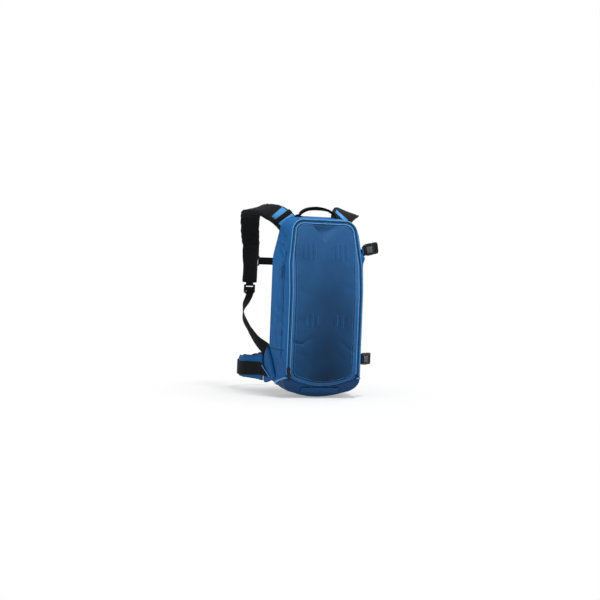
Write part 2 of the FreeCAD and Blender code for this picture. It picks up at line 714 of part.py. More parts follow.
# ---------------------------------------------------------------- places on the bag's sides
def side_point(depth, height, upper):
    """A point on the right side face, at a distance from the wearer's back."""
    corners = outline_at(depth + BACK_Y)
    (x_high, z_high), (x_low, z_low) = corners[1:3] if upper else corners[2:4]
    share = (height - z_low) / (z_high - z_low)
    return Vector(x_low + (x_high - x_low) * share, -depth, height)


def side_place(right, depth, height, upper=False):
    """A placement on a side face: X points out of the bag, Z runs up the side."""
    forward = side_point(depth + 1, height, upper) - side_point(depth - 1, height, upper)
    up = side_point(depth, height + 1, upper) - side_point(depth, height - 1, upper)
    out = up.cross(forward).normalize()
    out = out if out.x > 0 else -out
    point = side_point(depth, height, upper)
    if not right:
        point.x, out.x = -point.x, -out.x
    return frame_at(point, out, Z_AXIS)


# ---------------------------------------------------------------- zips
def zip_pull(label, eye):
    """A pull: a metal eye on the slider's bar and a moulded grip. It hangs along -Z from the origin."""
    body = new_body(label)
    grip = new_sketch(body, "XZ_Plane", label + "_grip")
    half = "Sizes.pull_wide / 2"
    outline(grip, [
        ("-1.6", "2.4"), ("1.6", "2.4"), ("2.4", "0"), ("2.4", "-4"), (half, "-8"),
        (half, "-Sizes.pull_long"), (half + " - 1.5", "-Sizes.pull_long - 2"),
        ("1.5 - " + half, "-Sizes.pull_long - 2"), ("-" + half, "-Sizes.pull_long"),
        ("-" + half, "-8"), ("-2.4", "-4"), ("-2.4", "0"),
    ])
    pad(body, grip, "2.4")
    hole = new_sketch(body, "YZ_Plane", label + "_eye")
    ring(hole, "0", "0", eye)
    pocket(body, hole)
    groove = new_sketch(body, "XZ_Plane", label + "_groove")
    groove.setExpression("AttachmentOffset.Base.z", "0.8")
    oblong(groove, "-Sizes.pull_wide", "Sizes.pull_wide", "-10.2", "-9.4")
    cut = pocket(body, groove, "2", middle=False)
    ribs = body.newObject("PartDesign::LinearPattern", label + "_ribs")
    ribs.Originals = [cut]
    ribs.Direction = (groove, ["V_Axis"])
    ribs.Reversed = True
    ribs.Length = 14
    ribs.Occurrences = 8
    body.Tip = ribs
    return body


def slider_lug(body, label, base, eye_height):
    """Two cheeks and the bar that carries the pull, standing on the slider's outer plate."""
    cheeks = new_sketch(body, "YZ_Plane", label + "_cheeks")
    tip = f"-({eye_height}) - 1.2"
    outline(cheeks, [(f"-({base})", "3"), (tip, "1.4"), (tip, "-1.4"), (f"-({base})", "-3")])
    pad(body, cheeks, "7.6")
    slot = new_sketch(body, "YZ_Plane", label + "_slot")
    oblong(slot, f"-({eye_height}) - 4", f"-({base})", "-8", "8")
    pocket(body, slot, "5.6")
    bar = new_sketch(body, "YZ_Plane", label + "_bar")
    ring(bar, f"-({eye_height})", "0", "0.8")
    pad(body, bar, "7")


SLIDER_EYE = 3.4  # bar centre above the outer plate


def main_slider():
    """The slider: an outer and an inner plate joined by a post in the gap between the tapes."""
    body = new_body("main_zip_slider")
    reach = "Sizes.slide_gap + Sizes.slider_plate"
    half = "Sizes.slider_wide / 2"
    far = "Sizes.slider_long / 2"
    outer = new_sketch(body, "XZ_Plane", "slider_outer")
    outer.setExpression("AttachmentOffset.Base.z", "Sizes.slide_gap")
    outline(outer, [
        ("1.5 - " + half, "-" + far), (half + " - 1.5", "-" + far), (half, "1.5 - " + far),
        (half, far + " - 3"), (half + " - 2", far), ("2 - " + half, far), ("-" + half, far + " - 3"),
        ("-" + half, "1.5 - " + far),
    ])
    pad(body, outer, "Sizes.slider_plate", middle=False)
    post = new_sketch(body, "XZ_Plane", "slider_post")
    post.setExpression("AttachmentOffset.Base.z", "-Sizes.shell_wall - (" + reach + ")")
    oblong(post, "-0.3", "0.3", "-3", "3")
    pad(body, post, "Sizes.shell_wall + 2 * (" + reach + ")", middle=False)
    inner = new_sketch(body, "XZ_Plane", "slider_inner")
    inner.setExpression("AttachmentOffset.Base.z", "-Sizes.shell_wall - (" + reach + ")")
    oblong(inner, "-2.1", "2.1", "1.5 - " + far, far + " - 1.5")
    pad(body, inner, "Sizes.slider_plate", middle=False)
    slider_lug(body, "slider", reach, reach + f" + {SLIDER_EYE}")
    return body


def flat_slider(label):
    """A small slider that rides over the coil of the side pocket's zip."""
    body = new_body(label)
    coil = "Sizes.pocket_tape + Sizes.coil_high + Sizes.slide_gap"
    foot = "Sizes.pocket_tape + Sizes.slide_gap"
    leg = "Sizes.coil_wide / 2 + Sizes.slide_gap"
    profile = new_sketch(body, "XY_Plane", label + "_profile")
    outline(profile, [
        ("-(" + leg + ") - 1.3", f"-({foot})"), ("-(" + leg + ")", f"-({foot})"),
        ("-(" + leg + ")", f"-({coil})"), (leg, f"-({coil})"), (leg, f"-({foot})"),
        (leg + " + 1.3", f"-({foot})"), (leg + " + 1.3", f"-({coil}) - 1"),
        ("-(" + leg + ") - 1.3", f"-({coil}) - 1"),
    ])
    pad(body, profile, "9")
    slider_lug(body, label, coil + " + 1", coil + f" + 1 + {SLIDER_EYE}")
    return body


reach = size("slide_gap") + size("slider_plate")
zip_x = -max(abs(x) for x, z in outline_at(size("bag_depth") - size("pad_thick"), [size("panel_side")] * 7))
slider_at = Vector(zip_x, FRONT_Y, size("panel_fold") - size("slider_long") / 2 - 1.5)
main_slider().Placement = Placement(slider_at, Rotation())
PULL_EYE = Vector(0, -(reach + SLIDER_EYE), 0)
zip_pull("main_zip_pull", "1.1").Placement = Placement(slider_at + PULL_EYE, Rotation())


def pocket_tape():
    """The side pocket's closed zip: a woven tape with its coil, stopped at both ends."""
    body = new_body("side_zip_tape")
    length = "(Sizes.pocket_high - Sizes.pocket_low)"
    tape = new_sketch(body, "XZ_Plane", "tape_outline")
    oblong(tape, "-Sizes.pocket_wide / 2", "Sizes.pocket_wide / 2", f"-{length} / 2", f"{length} / 2")
    pad(body, tape, "Sizes.pocket_tape", middle=False)
    coil = new_sketch(body, "XZ_Plane", "coil_outline")
    oblong(coil, "-Sizes.coil_wide / 2", "Sizes.coil_wide / 2", f"4 - {length} / 2", f"{length} / 2 - 4")
    pad(body, coil, "Sizes.pocket_tape + Sizes.coil_high", middle=False)
    return body


pocket_middle = (size("pocket_low") + size("pocket_high")) / 2
outward = side_place(False, size("pocket_y"), pocket_middle)
# local -Y of the zip pieces points out of the bag's side
side_turn = outward.multiply(Placement(Vector(), Rotation(Z_AXIS, 90)))
pocket_tape().Placement = side_turn
side_slider_up = Vector(0, 0, size("pocket_high") - pocket_middle - 12)
side_slider_at = side_turn.multiply(Placement(side_slider_up, Rotation()))
flat_slider("side_zip_slider").Placement = side_slider_at
side_eye = size("pocket_tape") + size("coil_high") + size("slide_gap") + 1 + SLIDER_EYE
side_pull_at = side_slider_at.multiply(Placement(Vector(0, -side_eye, 0), Rotation()))
zip_pull("side_zip_pull", "1.1").Placement = side_pull_at


# ---------------------------------------------------------------- hose port
def hose_port():
    """A rubber grommet in the right gusset: flanges on both sides and a waist in the hole."""
    body = new_body("hose_port")
    profile = new_sketch(body, "XY_Plane", "port_profile")
    inner = "Sizes.hose_hole_radius"
    waist = "Sizes.hose_port_radius"
    flange = "Sizes.hose_port_radius + 5"
    wall = "-Sizes.shell_wall"
    outline(profile, [
        ("1.6", inner), ("1", flange + " - 1"), ("0", flange), ("0", waist), (wall, waist),
        (wall, flange + " - 2"), (wall + " - 1.6", flange + " - 3"), (wall + " - 1.6", inner),
    ])
    turn = body.newObject("PartDesign::Revolution", "port_turn")
    turn.Profile = profile
    turn.ReferenceAxis = (profile, ["H_Axis"])
    turn.Angle = 360
    return body


port_at = side_place(True, size("hose_port_y"), size("hose_port_z"), upper=True)
port_out = port_at.Rotation.multVec(X_AXIS)
port_bar = Part.makeCylinder(size("hose_port_radius"), 24, port_at.Base - port_out * 12, port_out)
port = hose_port()
port.Placement = port_at
doc.recompute()
# the flanges grip the wall, which is pressed flat under them
side_gusset_right = side_gusset_right.cut(port_bar).cut(port.Shape)
keep("side_gusset_left", side_gusset_left)
keep("side_gusset_right", side_gusset_right)


# ---------------------------------------------------------------- grab handle
tilt = Rotation(X_AXIS, size("top_rake"))
handle_y = -size("handle_y")


def on_top(x, rise):
    """A point above the top face of the bag, on the handle's line."""
    foot = Vector(x, handle_y, size("bag_top") + (handle_y - BACK_Y) * RAKE)
    return foot + tilt.multVec(Z_AXIS) * rise


def handle_feet():
    """Two folded webbing tabs sewn to the top gusset under the handle's ends."""
    feet = []
    for side, name in ((-1, "left"), (1, "right")):
        tab = doc.addObject("Part::Box", "handle_foot_" + name)
        tab.setExpression("Length", "Sizes.foot_long")
        tab.setExpression("Width", "Sizes.handle_wide")
        tab.setExpression("Height", "Sizes.foot_thick")
        middle = Vector(-size("foot_long") / 2, -size("handle_wide") / 2, 0)
        tab.Placement = Placement(on_top(side * size("handle_half"), 0), tilt) * Placement(middle, Rotation())
        feet.append(tab)
    pair = doc.addObject("Part::Compound", "handle_feet")
    pair.Label = "handle_feet"
    pair.Links = feet
    nodes.append(pair)


handle_feet()


def grab_handle():
    """A rolled handle: flat webbing ends that rise from the feet to a padded middle."""
    half = size("handle_half")
    wide = size("handle_wide")
    flat = size("handle_flat")
    thick = size("handle_thick")
    rise = size("handle_rise")
    low = size("foot_thick") + size("seat") + flat / 2
    across = tuple(tilt.multVec(Y_AXIS))
    quarter = [
        (half + 5, 0.2, 1, flat), (half, 0.6, 1, flat), (half - 4, 2.8, 1, flat),
        (half * 0.8, rise * 0.5, 0.9, flat + 0.8),
        (half * 0.5, rise * 0.87, 0.7, thick - 1),
    ]
    right = [(on_top(x, low + lift), across, wide * share, deep) for x, lift, share, deep in quarter]
    right[0] = right[0] + ((-1, 0, 0),)
    middle = [(on_top(0, low + rise), across, wide * 0.65, thick)]
    left = []
    for x, lift, share, deep in reversed(quarter):
        left.append((on_top(-x, low + lift), across, wide * share, deep))
    left[-1] = left[-1] + ((-1, 0, 0),)
    return ribbon(right + middle + left)


keep("grab_handle", grab_handle())

# ---------------------------------------------------------------- light loop on the chin
loop_skin = bag_form(-size("web_thick")).cut(outer_form)
loop_half = size("light_loop_half")
loop_z = (size("light_loop_low"), size("light_loop_high"))
keep("light_loop", loop_skin.common(block((-loop_half, loop_half), (-REACH, FRONT_Y / 2), loop_z)))


# ---------------------------------------------------------------- buckles and locks
def half_width(web):
    return f"({web} / 2 + Sizes.buckle_rim)"


def cavity_half(web):
    return f"({web} / 2 + Sizes.buckle_lining)"


def buckle_socket(label, web, long, thick, place):
    """The socket of a side-release buckle. Its mouth lies at x = 0 and opens towards +X.

    Its sides are open as far as the mouth, so that the plug's arms can slide out.
    """
    body = new_body(label)
    half = half_width(web)
    room = cavity_half(web)
    rise = f"({thick} / 2 - Sizes.buckle_floor)"
    plan = new_sketch(body, "XY_Plane", label + "_plan")
    outline(plan, [
        ("0", f"1 - {half}"), ("0", f"{half} - 1"), (f"-0.12 * {long}", half), (f"-0.66 * {long}", half),
        (f"-{long}", f"{half} - 3"), (f"-{long}", f"3 - {half}"), (f"-0.66 * {long}", f"-{half}"),
        (f"-0.12 * {long}", f"-{half}"),
    ])
    pad(body, plan, thick)
    face = number(thick) / 2
    soften(body, "1.2", lambda e: abs(abs(e.CenterOfMass.z) - face) < 1e-4 and e.CenterOfMass.x < -0.5)
    cavity = new_sketch(body, "YZ_Plane", label + "_cavity")
    oblong(cavity, f"-{room}", room, f"-{rise}", rise)
    pocket(body, cavity, f"0.7 * {long}", middle=False)
    windows = new_sketch(body, "XZ_Plane", label + "_windows")
    oblong(windows, f"-0.57 * {long}", "1", f"-{rise}", rise)
    pocket(body, windows)
    slot = new_sketch(body, "XY_Plane", label + "_slot")
    oblong(slot, f"3.5 - {long}", f"7.2 - {long}", f"-{room}", room)
    pocket(body, slot)
    rib = new_sketch(body, "XY_Plane", label + "_rib")
    rib.setExpression("AttachmentOffset.Base.z", f"{thick} / 2 - 0.3")
    oblong(rib, f"-0.6 * {long}", f"1.1 - 0.6 * {long}", f"4 - {half}", f"{half} - 4")
    first = pad(body, rib, "0.9", middle=False)
    ribs = body.newObject("PartDesign::LinearPattern", label + "_ribs")
    ribs.Originals = [first]
    ribs.Direction = (rib, ["H_Axis"])
    ribs.setExpression("Length", f"0.3 * {long}")
    ribs.Occurrences = 4
    body.Tip = ribs
    body.Placement = place
    return body


def buckle_plug(label, web, long, thick, place):
    """The plug: two latch arms, a guide and a base with two bars for adjusting the webbing."""
    body = new_body(label)
    half = half_width(web)
    room = cavity_half(web)
    plan = new_sketch(body, "XY_Plane", label + "_plan")
    outline(plan, [
        ("Sizes.seat", f"1 - {half}"), (f"0.12 * {long}", f"-{half}"), (f"0.46 * {long}", f"0.5 - {half}"),
        (f"0.53 * {long}", f"3 - {half}"), (f"0.53 * {long}", f"{half} - 3"),
        (f"0.46 * {long}", f"{half} - 0.5"), (f"0.12 * {long}", half), ("Sizes.seat", f"{half} - 1"),
    ])
    pad(body, plan, f"{thick} - 1.5")
    face = (number(thick) - 1.5) / 2
    soften(body, "1", lambda e: abs(abs(e.CenterOfMass.z) - face) < 1e-4 and e.CenterOfMass.x > 0.5)
    slots = new_sketch(body, "XY_Plane", label + "_slots")
    oblong(slots, f"0.16 * {long}", f"0.25 * {long}", f"-{room}", room)
    oblong(slots, f"0.35 * {long}", f"0.44 * {long}", f"-{room}", room)
    pocket(body, slots)
    arms = new_sketch(body, "XY_Plane", label + "_arms")
    arm = [
        ("1", f"({room} - 5.2)"), ("1", f"({room} - 0.8)"), (f"-0.255 * {long}", f"({room} - 0.8)"),
        (f"-0.255 * {long}", f"({half} - 0.5)"), (f"-0.42 * {long}", f"({half} - 1.2)"),
        (f"-0.56 * {long}", f"({room} - 1.6)"), (f"-0.585 * {long}", f"({room} - 3)"),
        (f"-0.54 * {long}", f"({room} - 5)"), (f"-0.26 * {long}", f"({room} - 4.4)"),
    ]
    outline(arms, arm)
    outline(arms, [(x, f"-{y}") for x, y in arm])
    pad(body, arms, f"{thick} - 2 * Sizes.buckle_floor - 2 * Sizes.slide_gap")
    guide = new_sketch(body, "XY_Plane", label + "_guide")
    oblong(guide, f"-0.45 * {long}", "1", "-1.6", "1.6")
    pad(body, guide, "3")
    body.Placement = place
    return body


SMALL = ("Sizes.small_web", "Sizes.small_buckle", "Sizes.small_thick")
HIP = ("Sizes.hip_web", "Sizes.hip_buckle", "Sizes.hip_thick")
PLUG_END = 0.53  # the plug's rear end, as a share of the socket's length


def ladder_lock(label, place):
    """A ladder lock: X runs down the strap, with a bar for the sewn loop and two for the free webbing."""
    body = new_body(label)
    half = half_width("Sizes.small_web")
    room = cavity_half("Sizes.small_web")
    long = "Sizes.lock_long"
    plan = new_sketch(body, "XY_Plane", label + "_plan")
    outline(plan, [
        ("0", f"1.5 - {half}"), ("2", f"-{half}"), (f"{long} - 5", f"-{half}"), (long, f"5 - {half}"),
        (long, f"{half} - 5"), (f"{long} - 5", half), ("2", half), ("0", f"{half} - 1.5"),
    ])
    pad(body, plan, "Sizes.lock_thick")
    slots = new_sketch(body, "XY_Plane", label + "_slots")
    for low, high in (("3", "6.5"), ("10.5", "13.5"), ("17", "20")):
        oblong(slots, low, high, f"-{room}", room)
    pocket(body, slots)
    lip = new_sketch(body, "XZ_Plane", label + "_lip")
    outline(lip, [
        (f"{long} - 1", "-Sizes.lock_thick / 2"), (f"{long} + 3", "1.5"),
        (f"{long} + 3", "3.5"), (f"{long} - 4", "Sizes.lock_thick / 2 - 0.2"),
    ])
    pad(body, lip, "Sizes.small_web * 0.7")
    body.Placement = place
    return body


# ---------------------------------------------------------------- shoulder straps
SEAT = size("seat")
web = size("web_thick")
small_web = size("small_web")
wide = size("strap_wide")
thick = size("strap_thick")
strap_x = size("strap_x")
strap_y = size("strap_y")
narrow = size("strap_narrow")
DOWN = (0, 0, -1)
strap = ribbon([
    ((64, BACK_Y, 362), (0.6, 0, -0.8), wide - 8, thick, (0, 1, 0)),
    ((86, 24, 391), (0.8, 0, -0.6), wide - 4, thick),
    ((112, 58, 407), (0.88, 0, -0.47), wide, thick),
    ((137, 95, 410), (0.9, 0, -0.43), wide, thick),
    ((134, 130, 392), (0.96, 0, -0.28), wide - 4, thick),
    ((123, 159, 352), (1, -0.1, -0.1), wide - 8, thick),
    ((strap_x + 3, strap_y - 5, 325), (1, 0, 0), wide - 11, thick),
    ((strap_x, strap_y, 300), (1, 0, 0), wide - 14, thick, DOWN),
    ((strap_x, strap_y, 276), (1, 0, 0), wide - 17, thick, DOWN),
    ((strap_x, strap_y, 252), (1, 0, 0), narrow + 3, thick, DOWN),
    ((strap_x, strap_y, 228), (1, 0, 0), narrow + 1, thick, DOWN),
    ((strap_x, strap_y, size("strap_end")), (1, 0, 0), narrow, thick, DOWN),
])
rail_x = strap_x - 12
rail_seat = strap_y + thick / 2 - 1
rail_room = size("rail_wide") / 2 + 1
rail_z = (size("rail_low") - 5, size("rail_high") + 5)
strap = strap.cut(block((rail_x - rail_room, rail_x + rail_room), (rail_seat, REACH), rail_z))
keep("shoulder_strap_right", strap)
keep("shoulder_strap_left", mirrored(strap))


def strap_rail(label, place):
    """A rod on a sewn base. X points away from the strap, Z up."""
    body = new_body(label)
    long = "(Sizes.rail_high - Sizes.rail_low)"
    base = new_sketch(body, "YZ_Plane", label + "_base")
    oblong(base, "-Sizes.rail_wide / 2", "Sizes.rail_wide / 2", f"-{long} / 2 - 3", f"{long} / 2 + 3")
    pad(body, base, "Sizes.rail_base", middle=False)
    soften(body, "2", lambda e: runs_along(e, X_AXIS))
    centre = "Sizes.rail_base + Sizes.rail_stand"
    rod = new_sketch(body, "XY_Plane", label + "_rod")
    ring(rod, centre, "0", "Sizes.rail_radius")
    pad(body, rod, long)
    posts = new_sketch(body, "XZ_Plane", label + "_posts")
    for sign in ("", "-"):
        outline(posts, [
            ("0.5", f"{sign}({long} / 2)"), (f"{centre} + 1.5", f"{sign}({long} / 2)"),
            (f"{centre} + 1.5", f"{sign}({long} / 2 - 4)"), ("0.5", f"{sign}({long} / 2 - 5)"),
        ])
    pad(body, posts, "2 * Sizes.rail_radius")
    body.Placement = place
    return body


def sternum_clip(label, place):
    """A clip that slides on the rail. The rod is at the origin and the webbing's bar on the +X side."""
    body = new_body(label)
    bore = "(Sizes.rail_radius + Sizes.slide_gap)"
    tube = new_sketch(body, "XY_Plane", label + "_tube")
    ring(tube, "0", "0", f"{bore} + Sizes.clip_wall")
    pad(body, tube, "Sizes.clip_high")
    frame = new_sketch(body, "XZ_Plane", label + "_frame")
    room = cavity_half("Sizes.small_web")
    oblong(frame, "3", "17", f"-{room} - 3", f"{room} + 3")
    pad(body, frame, "4")
    slot = new_sketch(body, "XZ_Plane", label + "_slot")
    oblong(slot, "10.5", "14", f"-{room}", room)
    pocket(body, slot)
    hole = new_sketch(body, "XY_Plane", label + "_bore")
    ring(hole, "0", "0", bore)
    pocket(body, hole)
    body.Placement = place
    return body


CLIP_BAR = 17.0
rail_mid = (size("rail_low") + size("rail_high")) / 2
rod_y = rail_seat + size("rail_base") + size("rail_stand")
sternum_z = size("sternum_z")
for side, name in ((1, "right"), (-1, "left")):
    rail_at = Vector(side * rail_x, rail_seat, rail_mid)
    strap_rail("strap_rail_" + name, frame_at(rail_at, Y_AXIS, Z_AXIS))
    clip_at = Vector(side * rail_x, rod_y, sternum_z)
    sternum_clip("sternum_clip_" + name, frame_at(clip_at, X_AXIS * -side, Z_AXIS))
    lock_at = Vector(side * strap_x, strap_y, size("strap_end") - SEAT)
    ladder_lock("ladder_lock_" + name, frame_at(lock_at, Vector(*DOWN), Y_AXIS))

small_long = size("small_buckle")
mouth_x = 4.0
sternum_at = frame_at(Vector(mouth_x, rod_y, sternum_z), X_AXIS, Y_AXIS)
buckle_socket("sternum_socket", *SMALL, sternum_at)
buckle_plug("sternum_plug", *SMALL, sternum_at)
bar_x = rail_x - CLIP_BAR - SEAT


def flat_web(x, y, z, width):
    """A straight run of webbing along X."""
    return block(x, (y - web / 2, y + web / 2), (z - width / 2, z + width / 2))


socket_end = mouth_x - small_long - SEAT
plug_end = mouth_x + PLUG_END * small_long + SEAT
keep("sternum_web_left", flat_web((-bar_x, socket_end), rod_y, sternum_z, small_web))
keep("sternum_web_right", flat_web((plug_end, bar_x), rod_y, sternum_z, small_web))

# the lower strap runs from the ladder lock round the waist to a wedge at the bag's corner
lock_end = size("strap_end") - SEAT - size("lock_long") - SEAT
wedge = size("wedge_thick")
wedge_x = size("bag_half_width") - wedge / 2 + 0.1
meet = ((142, 66, 86), (0, -0.5, 0.85), small_web)
meet_ahead = (-0.35, -0.62, -0.7)
lower = ribbon([
    ((strap_x, strap_y, lock_end - 3), (1, 0, 0), small_web, web, DOWN),
    ((121, 168, 163), (0.85, -0.4, 0.35), small_web, web),
    ((140, 138, 143), (0.35, -0.45, 0.8), small_web, web),
    ((150, 101, 118), (0, -0.55, 0.83), small_web, web),
    (*meet, web, meet_ahead),
])
tail = ribbon([
    (*meet, wedge, meet_ahead),
    ((129, 40, 60), (0, -0.45, 0.9), 28, wedge),
    ((wedge_x, 12, 40), (0, 0, 1), size("wedge_wide"), wedge, (0, -1, -0.2)),
    ((wedge_x, BACK_Y + SEAT, 36), (0, 0, 1), size("wedge_wide"), wedge, (0, -1, 0)),
])
lower_strap = lower.fuse(tail).removeSplitter()
keep("lower_strap_right", lower_strap)
keep("lower_strap_left", mirrored(lower_strap))

# ---------------------------------------------------------------- hip belt
wing_thick = size("wing_thick")
root_thick = size("wing_root_thick")
pivot_y = size("wing_pivot_y")
half_bag = size("bag_half_width")
draft = size("side_draft") / FORM_REACH
root_face = half_bag + 0.4


def wing_root():
    """The fixed root of a hip wing, wrapped round the bag's lower side, with a slanting front edge."""
    front_y = size("root_front")
    path = [
        (half_bag - (BACK_Y - front_y) * draft + 0.1, front_y),
        (root_face, BACK_Y),
        (root_face, pivot_y - SEAT),
    ]
    high = size("wing_high")
    low = size("wing_low")
    wall = plan_band(path, -root_thick, low, high + 14)
    side = [
        (front_y, low + 20), (front_y + 2, low + 26), (-26, high), (-14, high + 12), (-3, high + 14),
        (pivot_y, high), (pivot_y, low), (-14, low + 2), (-48, low + 12),
    ]
    return wall.common(polygon_face(side, in_yz(0)).extrude(Vector(REACH, 0, 0)))


# the wing's middle line round the waist, as shares of the belt's reach in front of the back
WAIST = [(0.629, 0.152), (0.697, 0.313), (0.753, 0.48), (0.747, 0.636), (0.692, 0.763), (0.586, 0.874)]
belt_y = size("belt_y")
belt_z = size("belt_z")
root = wing_root()
wing_path = [(root_face + 1 + wing_thick / 2, pivot_y + SEAT)]
wing_path += [(share_x * belt_y, share_y * belt_y) for share_x, share_y in WAIST]
wing_stations = []
for i, (x, y) in enumerate(wing_path):
    share = i / (len(wing_path) - 1)
    high = size("wing_high") * (1 - share) + size("wing_tip_high") * share
    low = size("wing_low") * (1 - share) + size("wing_tip_low") * share
    station = ((x, y, (high + low) / 2), (0, 0, 1), high - low, wing_thick)
    wing_stations.append(station if i else station + ((0, 1, 0),))
wing = ribbon(wing_stations)

hip_web = size("hip_web")
belt_off = wing_thick / 2 + web / 2 + SEAT
belt_stations = []
for i, (x, y) in enumerate(wing_path):
    before = wing_path[max(i - 1, 0)]
    after = wing_path[min(i + 1, len(wing_path) - 1)]
    ahead = Vector(after[0] - before[0], after[1] - before[1], 0).normalize() if i else Vector(0, 1, 0)
    centre = (x + ahead.y * belt_off, y - ahead.x * belt_off, belt_z)
    belt_stations.append((centre, (0, 0, 1), hip_web, web, tuple(ahead)))
hip_long = size("hip_buckle")
hip_mouth = size("belt_gap")


def belt_to(end_x):
    """The hip webbing along its wing and on to a buckle whose bar ends at end_x."""
    front = [
        ((0.475 * belt_y, 0.96 * belt_y, belt_z), (0, 0, 1), hip_web, web),
        ((end_x + 0.05 * belt_y, belt_y, belt_z), (0, 0, 1), hip_web, web, (-1, 0.05, 0)),
        ((end_x, belt_y, belt_z), (0, 0, 1), hip_web, web, (-1, 0, 0)),
    ]
    return ribbon(belt_stations + front)


keep("wing_root_right", root)
keep("wing_root_left", mirrored(root))
keep("hip_wing_right", wing)
keep("hip_wing_left", mirrored(wing))
keep("hip_web_right", belt_to(hip_mouth + PLUG_END * hip_long + SEAT))
keep("hip_web_left", mirrored(belt_to(hip_mouth + hip_long + SEAT)))
buckle_socket("hip_socket", *HIP, frame_at(Vector(-hip_mouth, belt_y, belt_z), X_AXIS, Y_AXIS))
buckle_plug("hip_plug", *HIP, frame_at(Vector(hip_mouth, belt_y, belt_z), X_AXIS, Y_AXIS))


# ---------------------------------------------------------------- compression straps
def compression(name, height, axis, upper, cover):
    """A buckled strap on the right side. Its slack webbing goes back to the rear seam, over a cover.

    The tab that holds the socket is returned.
    """
    axis = Vector(*axis).normalize()
    back = Z_AXIS.cross(axis).normalize()
    seam = side_place(True, size("tab_y"), height, upper)
    out = seam.Rotation.multVec(X_AXIS)
    start = side_place(True, size("tab_y") - 6, height, upper).Base + out * size("tab_stand")
    mouth = start + axis * size("small_buckle")
    end = mouth + axis * (PLUG_END * size("small_buckle") + SEAT + web / 2)
    lift = cover + SEAT + web / 2
    sewn = side_place(True, size("rear_seam_y"), height - 12, upper)
    rear = sewn.Base + out * lift
    level = tuple(sewn.Rotation.multVec(Z_AXIS))
    place = frame_at(mouth, axis, -back)
    buckle_socket(f"compression_socket_{name}", *SMALL, place)
    buckle_plug(f"compression_plug_{name}", *SMALL, place)
    up = (0, 0, 1)
    tilted = tuple(axis.cross(back))
    slack = ribbon([
        (end - back * 2, tilted, small_web, web, tuple(back)),
        (end + back * 1.5, tilted, small_web, web, tuple(back)),
        (end + back * 5 - axis * 0.2, tilted, small_web, web, tuple(back - axis * 0.1)),
        (end + back * 10 - axis * 2, up, small_web, web, tuple(back * 0.9 - axis * 0.5)),
        ((end + rear) * 0.5 + out * 5, up, small_web, web),
        (rear + out * 3 - Vector(0, 5, 0), level, small_web, web),
        (rear, level, small_web, web, tuple(Vector(0, 0.5, 0) - out)),
    ])
    keep(f"compression_web_{name}", slack)
    return ribbon([
        (seam.Base, up, small_web, web, tuple(out)),
        (start - axis * SEAT, up, small_web, web, tuple(axis)),
    ])


tabs = [
    compression("upper", size("tab_high_z"), (0.93, 0.3, 0.2), True, 0),
    compression("lower", size("tab_low_z"), (0.77, 0.64, 0), False, root_thick + 0.4),
]
keep("compression_tabs", Part.makeCompound(tabs))

# ---------------------------------------------------------------- checks and export
doc.recompute()
for piece in doc.Objects:
    if "Invalid" in piece.State or "Error" in piece.State:
        raise RuntimeError(f"{piece.Label} does not compute")
for node in nodes:
    shape = node.Shape
    if shape.isNull() or not shape.isValid() or shape.Volume <= 0:
        raise RuntimeError(f"{node.Label} is not a sound solid")

os.makedirs("parts", exist_ok=True)
for node in nodes:
    node.Shape.exportStep(f"parts/{node.Label}.step")
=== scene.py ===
# %% [markdown]
# # A cycling hydration pack, dressed round its CAD frame
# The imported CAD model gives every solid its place: buckles, zip sliders, the frame sheet, the
# reservoir. CAD soft solids are plain, so here each one gets its real cloth, foam, seams and
# stitching. Every new piece is made in millimetres in the same frame and scaled to metres once.

# %% Load the frame
import json
import math

import bmesh
import bpy
import numpy as np
from mathutils import Matrix, Vector
from mathutils.bvhtree import BVHTree

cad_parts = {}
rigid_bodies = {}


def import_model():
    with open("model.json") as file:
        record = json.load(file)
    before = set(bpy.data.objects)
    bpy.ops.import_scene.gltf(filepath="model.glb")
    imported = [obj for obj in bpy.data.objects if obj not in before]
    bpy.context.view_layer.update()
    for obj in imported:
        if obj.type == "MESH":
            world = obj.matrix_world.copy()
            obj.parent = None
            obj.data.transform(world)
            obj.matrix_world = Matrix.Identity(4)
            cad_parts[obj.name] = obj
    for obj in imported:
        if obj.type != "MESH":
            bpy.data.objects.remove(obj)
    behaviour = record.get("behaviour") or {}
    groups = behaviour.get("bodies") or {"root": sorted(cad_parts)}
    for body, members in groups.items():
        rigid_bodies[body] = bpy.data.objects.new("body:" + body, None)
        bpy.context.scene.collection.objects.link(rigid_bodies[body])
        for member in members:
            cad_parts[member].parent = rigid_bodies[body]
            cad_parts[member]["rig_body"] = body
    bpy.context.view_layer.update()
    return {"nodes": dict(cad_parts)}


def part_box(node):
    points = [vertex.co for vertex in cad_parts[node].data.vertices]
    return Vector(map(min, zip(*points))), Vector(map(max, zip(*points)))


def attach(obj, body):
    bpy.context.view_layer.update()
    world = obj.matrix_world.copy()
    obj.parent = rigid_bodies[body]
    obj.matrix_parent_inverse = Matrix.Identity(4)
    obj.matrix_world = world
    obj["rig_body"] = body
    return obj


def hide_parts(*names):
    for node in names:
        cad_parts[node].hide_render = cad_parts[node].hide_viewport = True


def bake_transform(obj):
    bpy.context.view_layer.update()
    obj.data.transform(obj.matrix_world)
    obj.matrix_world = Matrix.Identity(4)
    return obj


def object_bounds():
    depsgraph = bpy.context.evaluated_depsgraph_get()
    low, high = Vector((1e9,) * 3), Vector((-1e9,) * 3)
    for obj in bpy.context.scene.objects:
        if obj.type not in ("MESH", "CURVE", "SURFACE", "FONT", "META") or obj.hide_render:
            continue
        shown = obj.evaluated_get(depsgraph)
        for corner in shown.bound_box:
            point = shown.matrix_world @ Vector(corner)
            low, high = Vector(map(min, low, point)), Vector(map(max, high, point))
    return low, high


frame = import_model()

nodes = frame["nodes"]
MM = 0.001

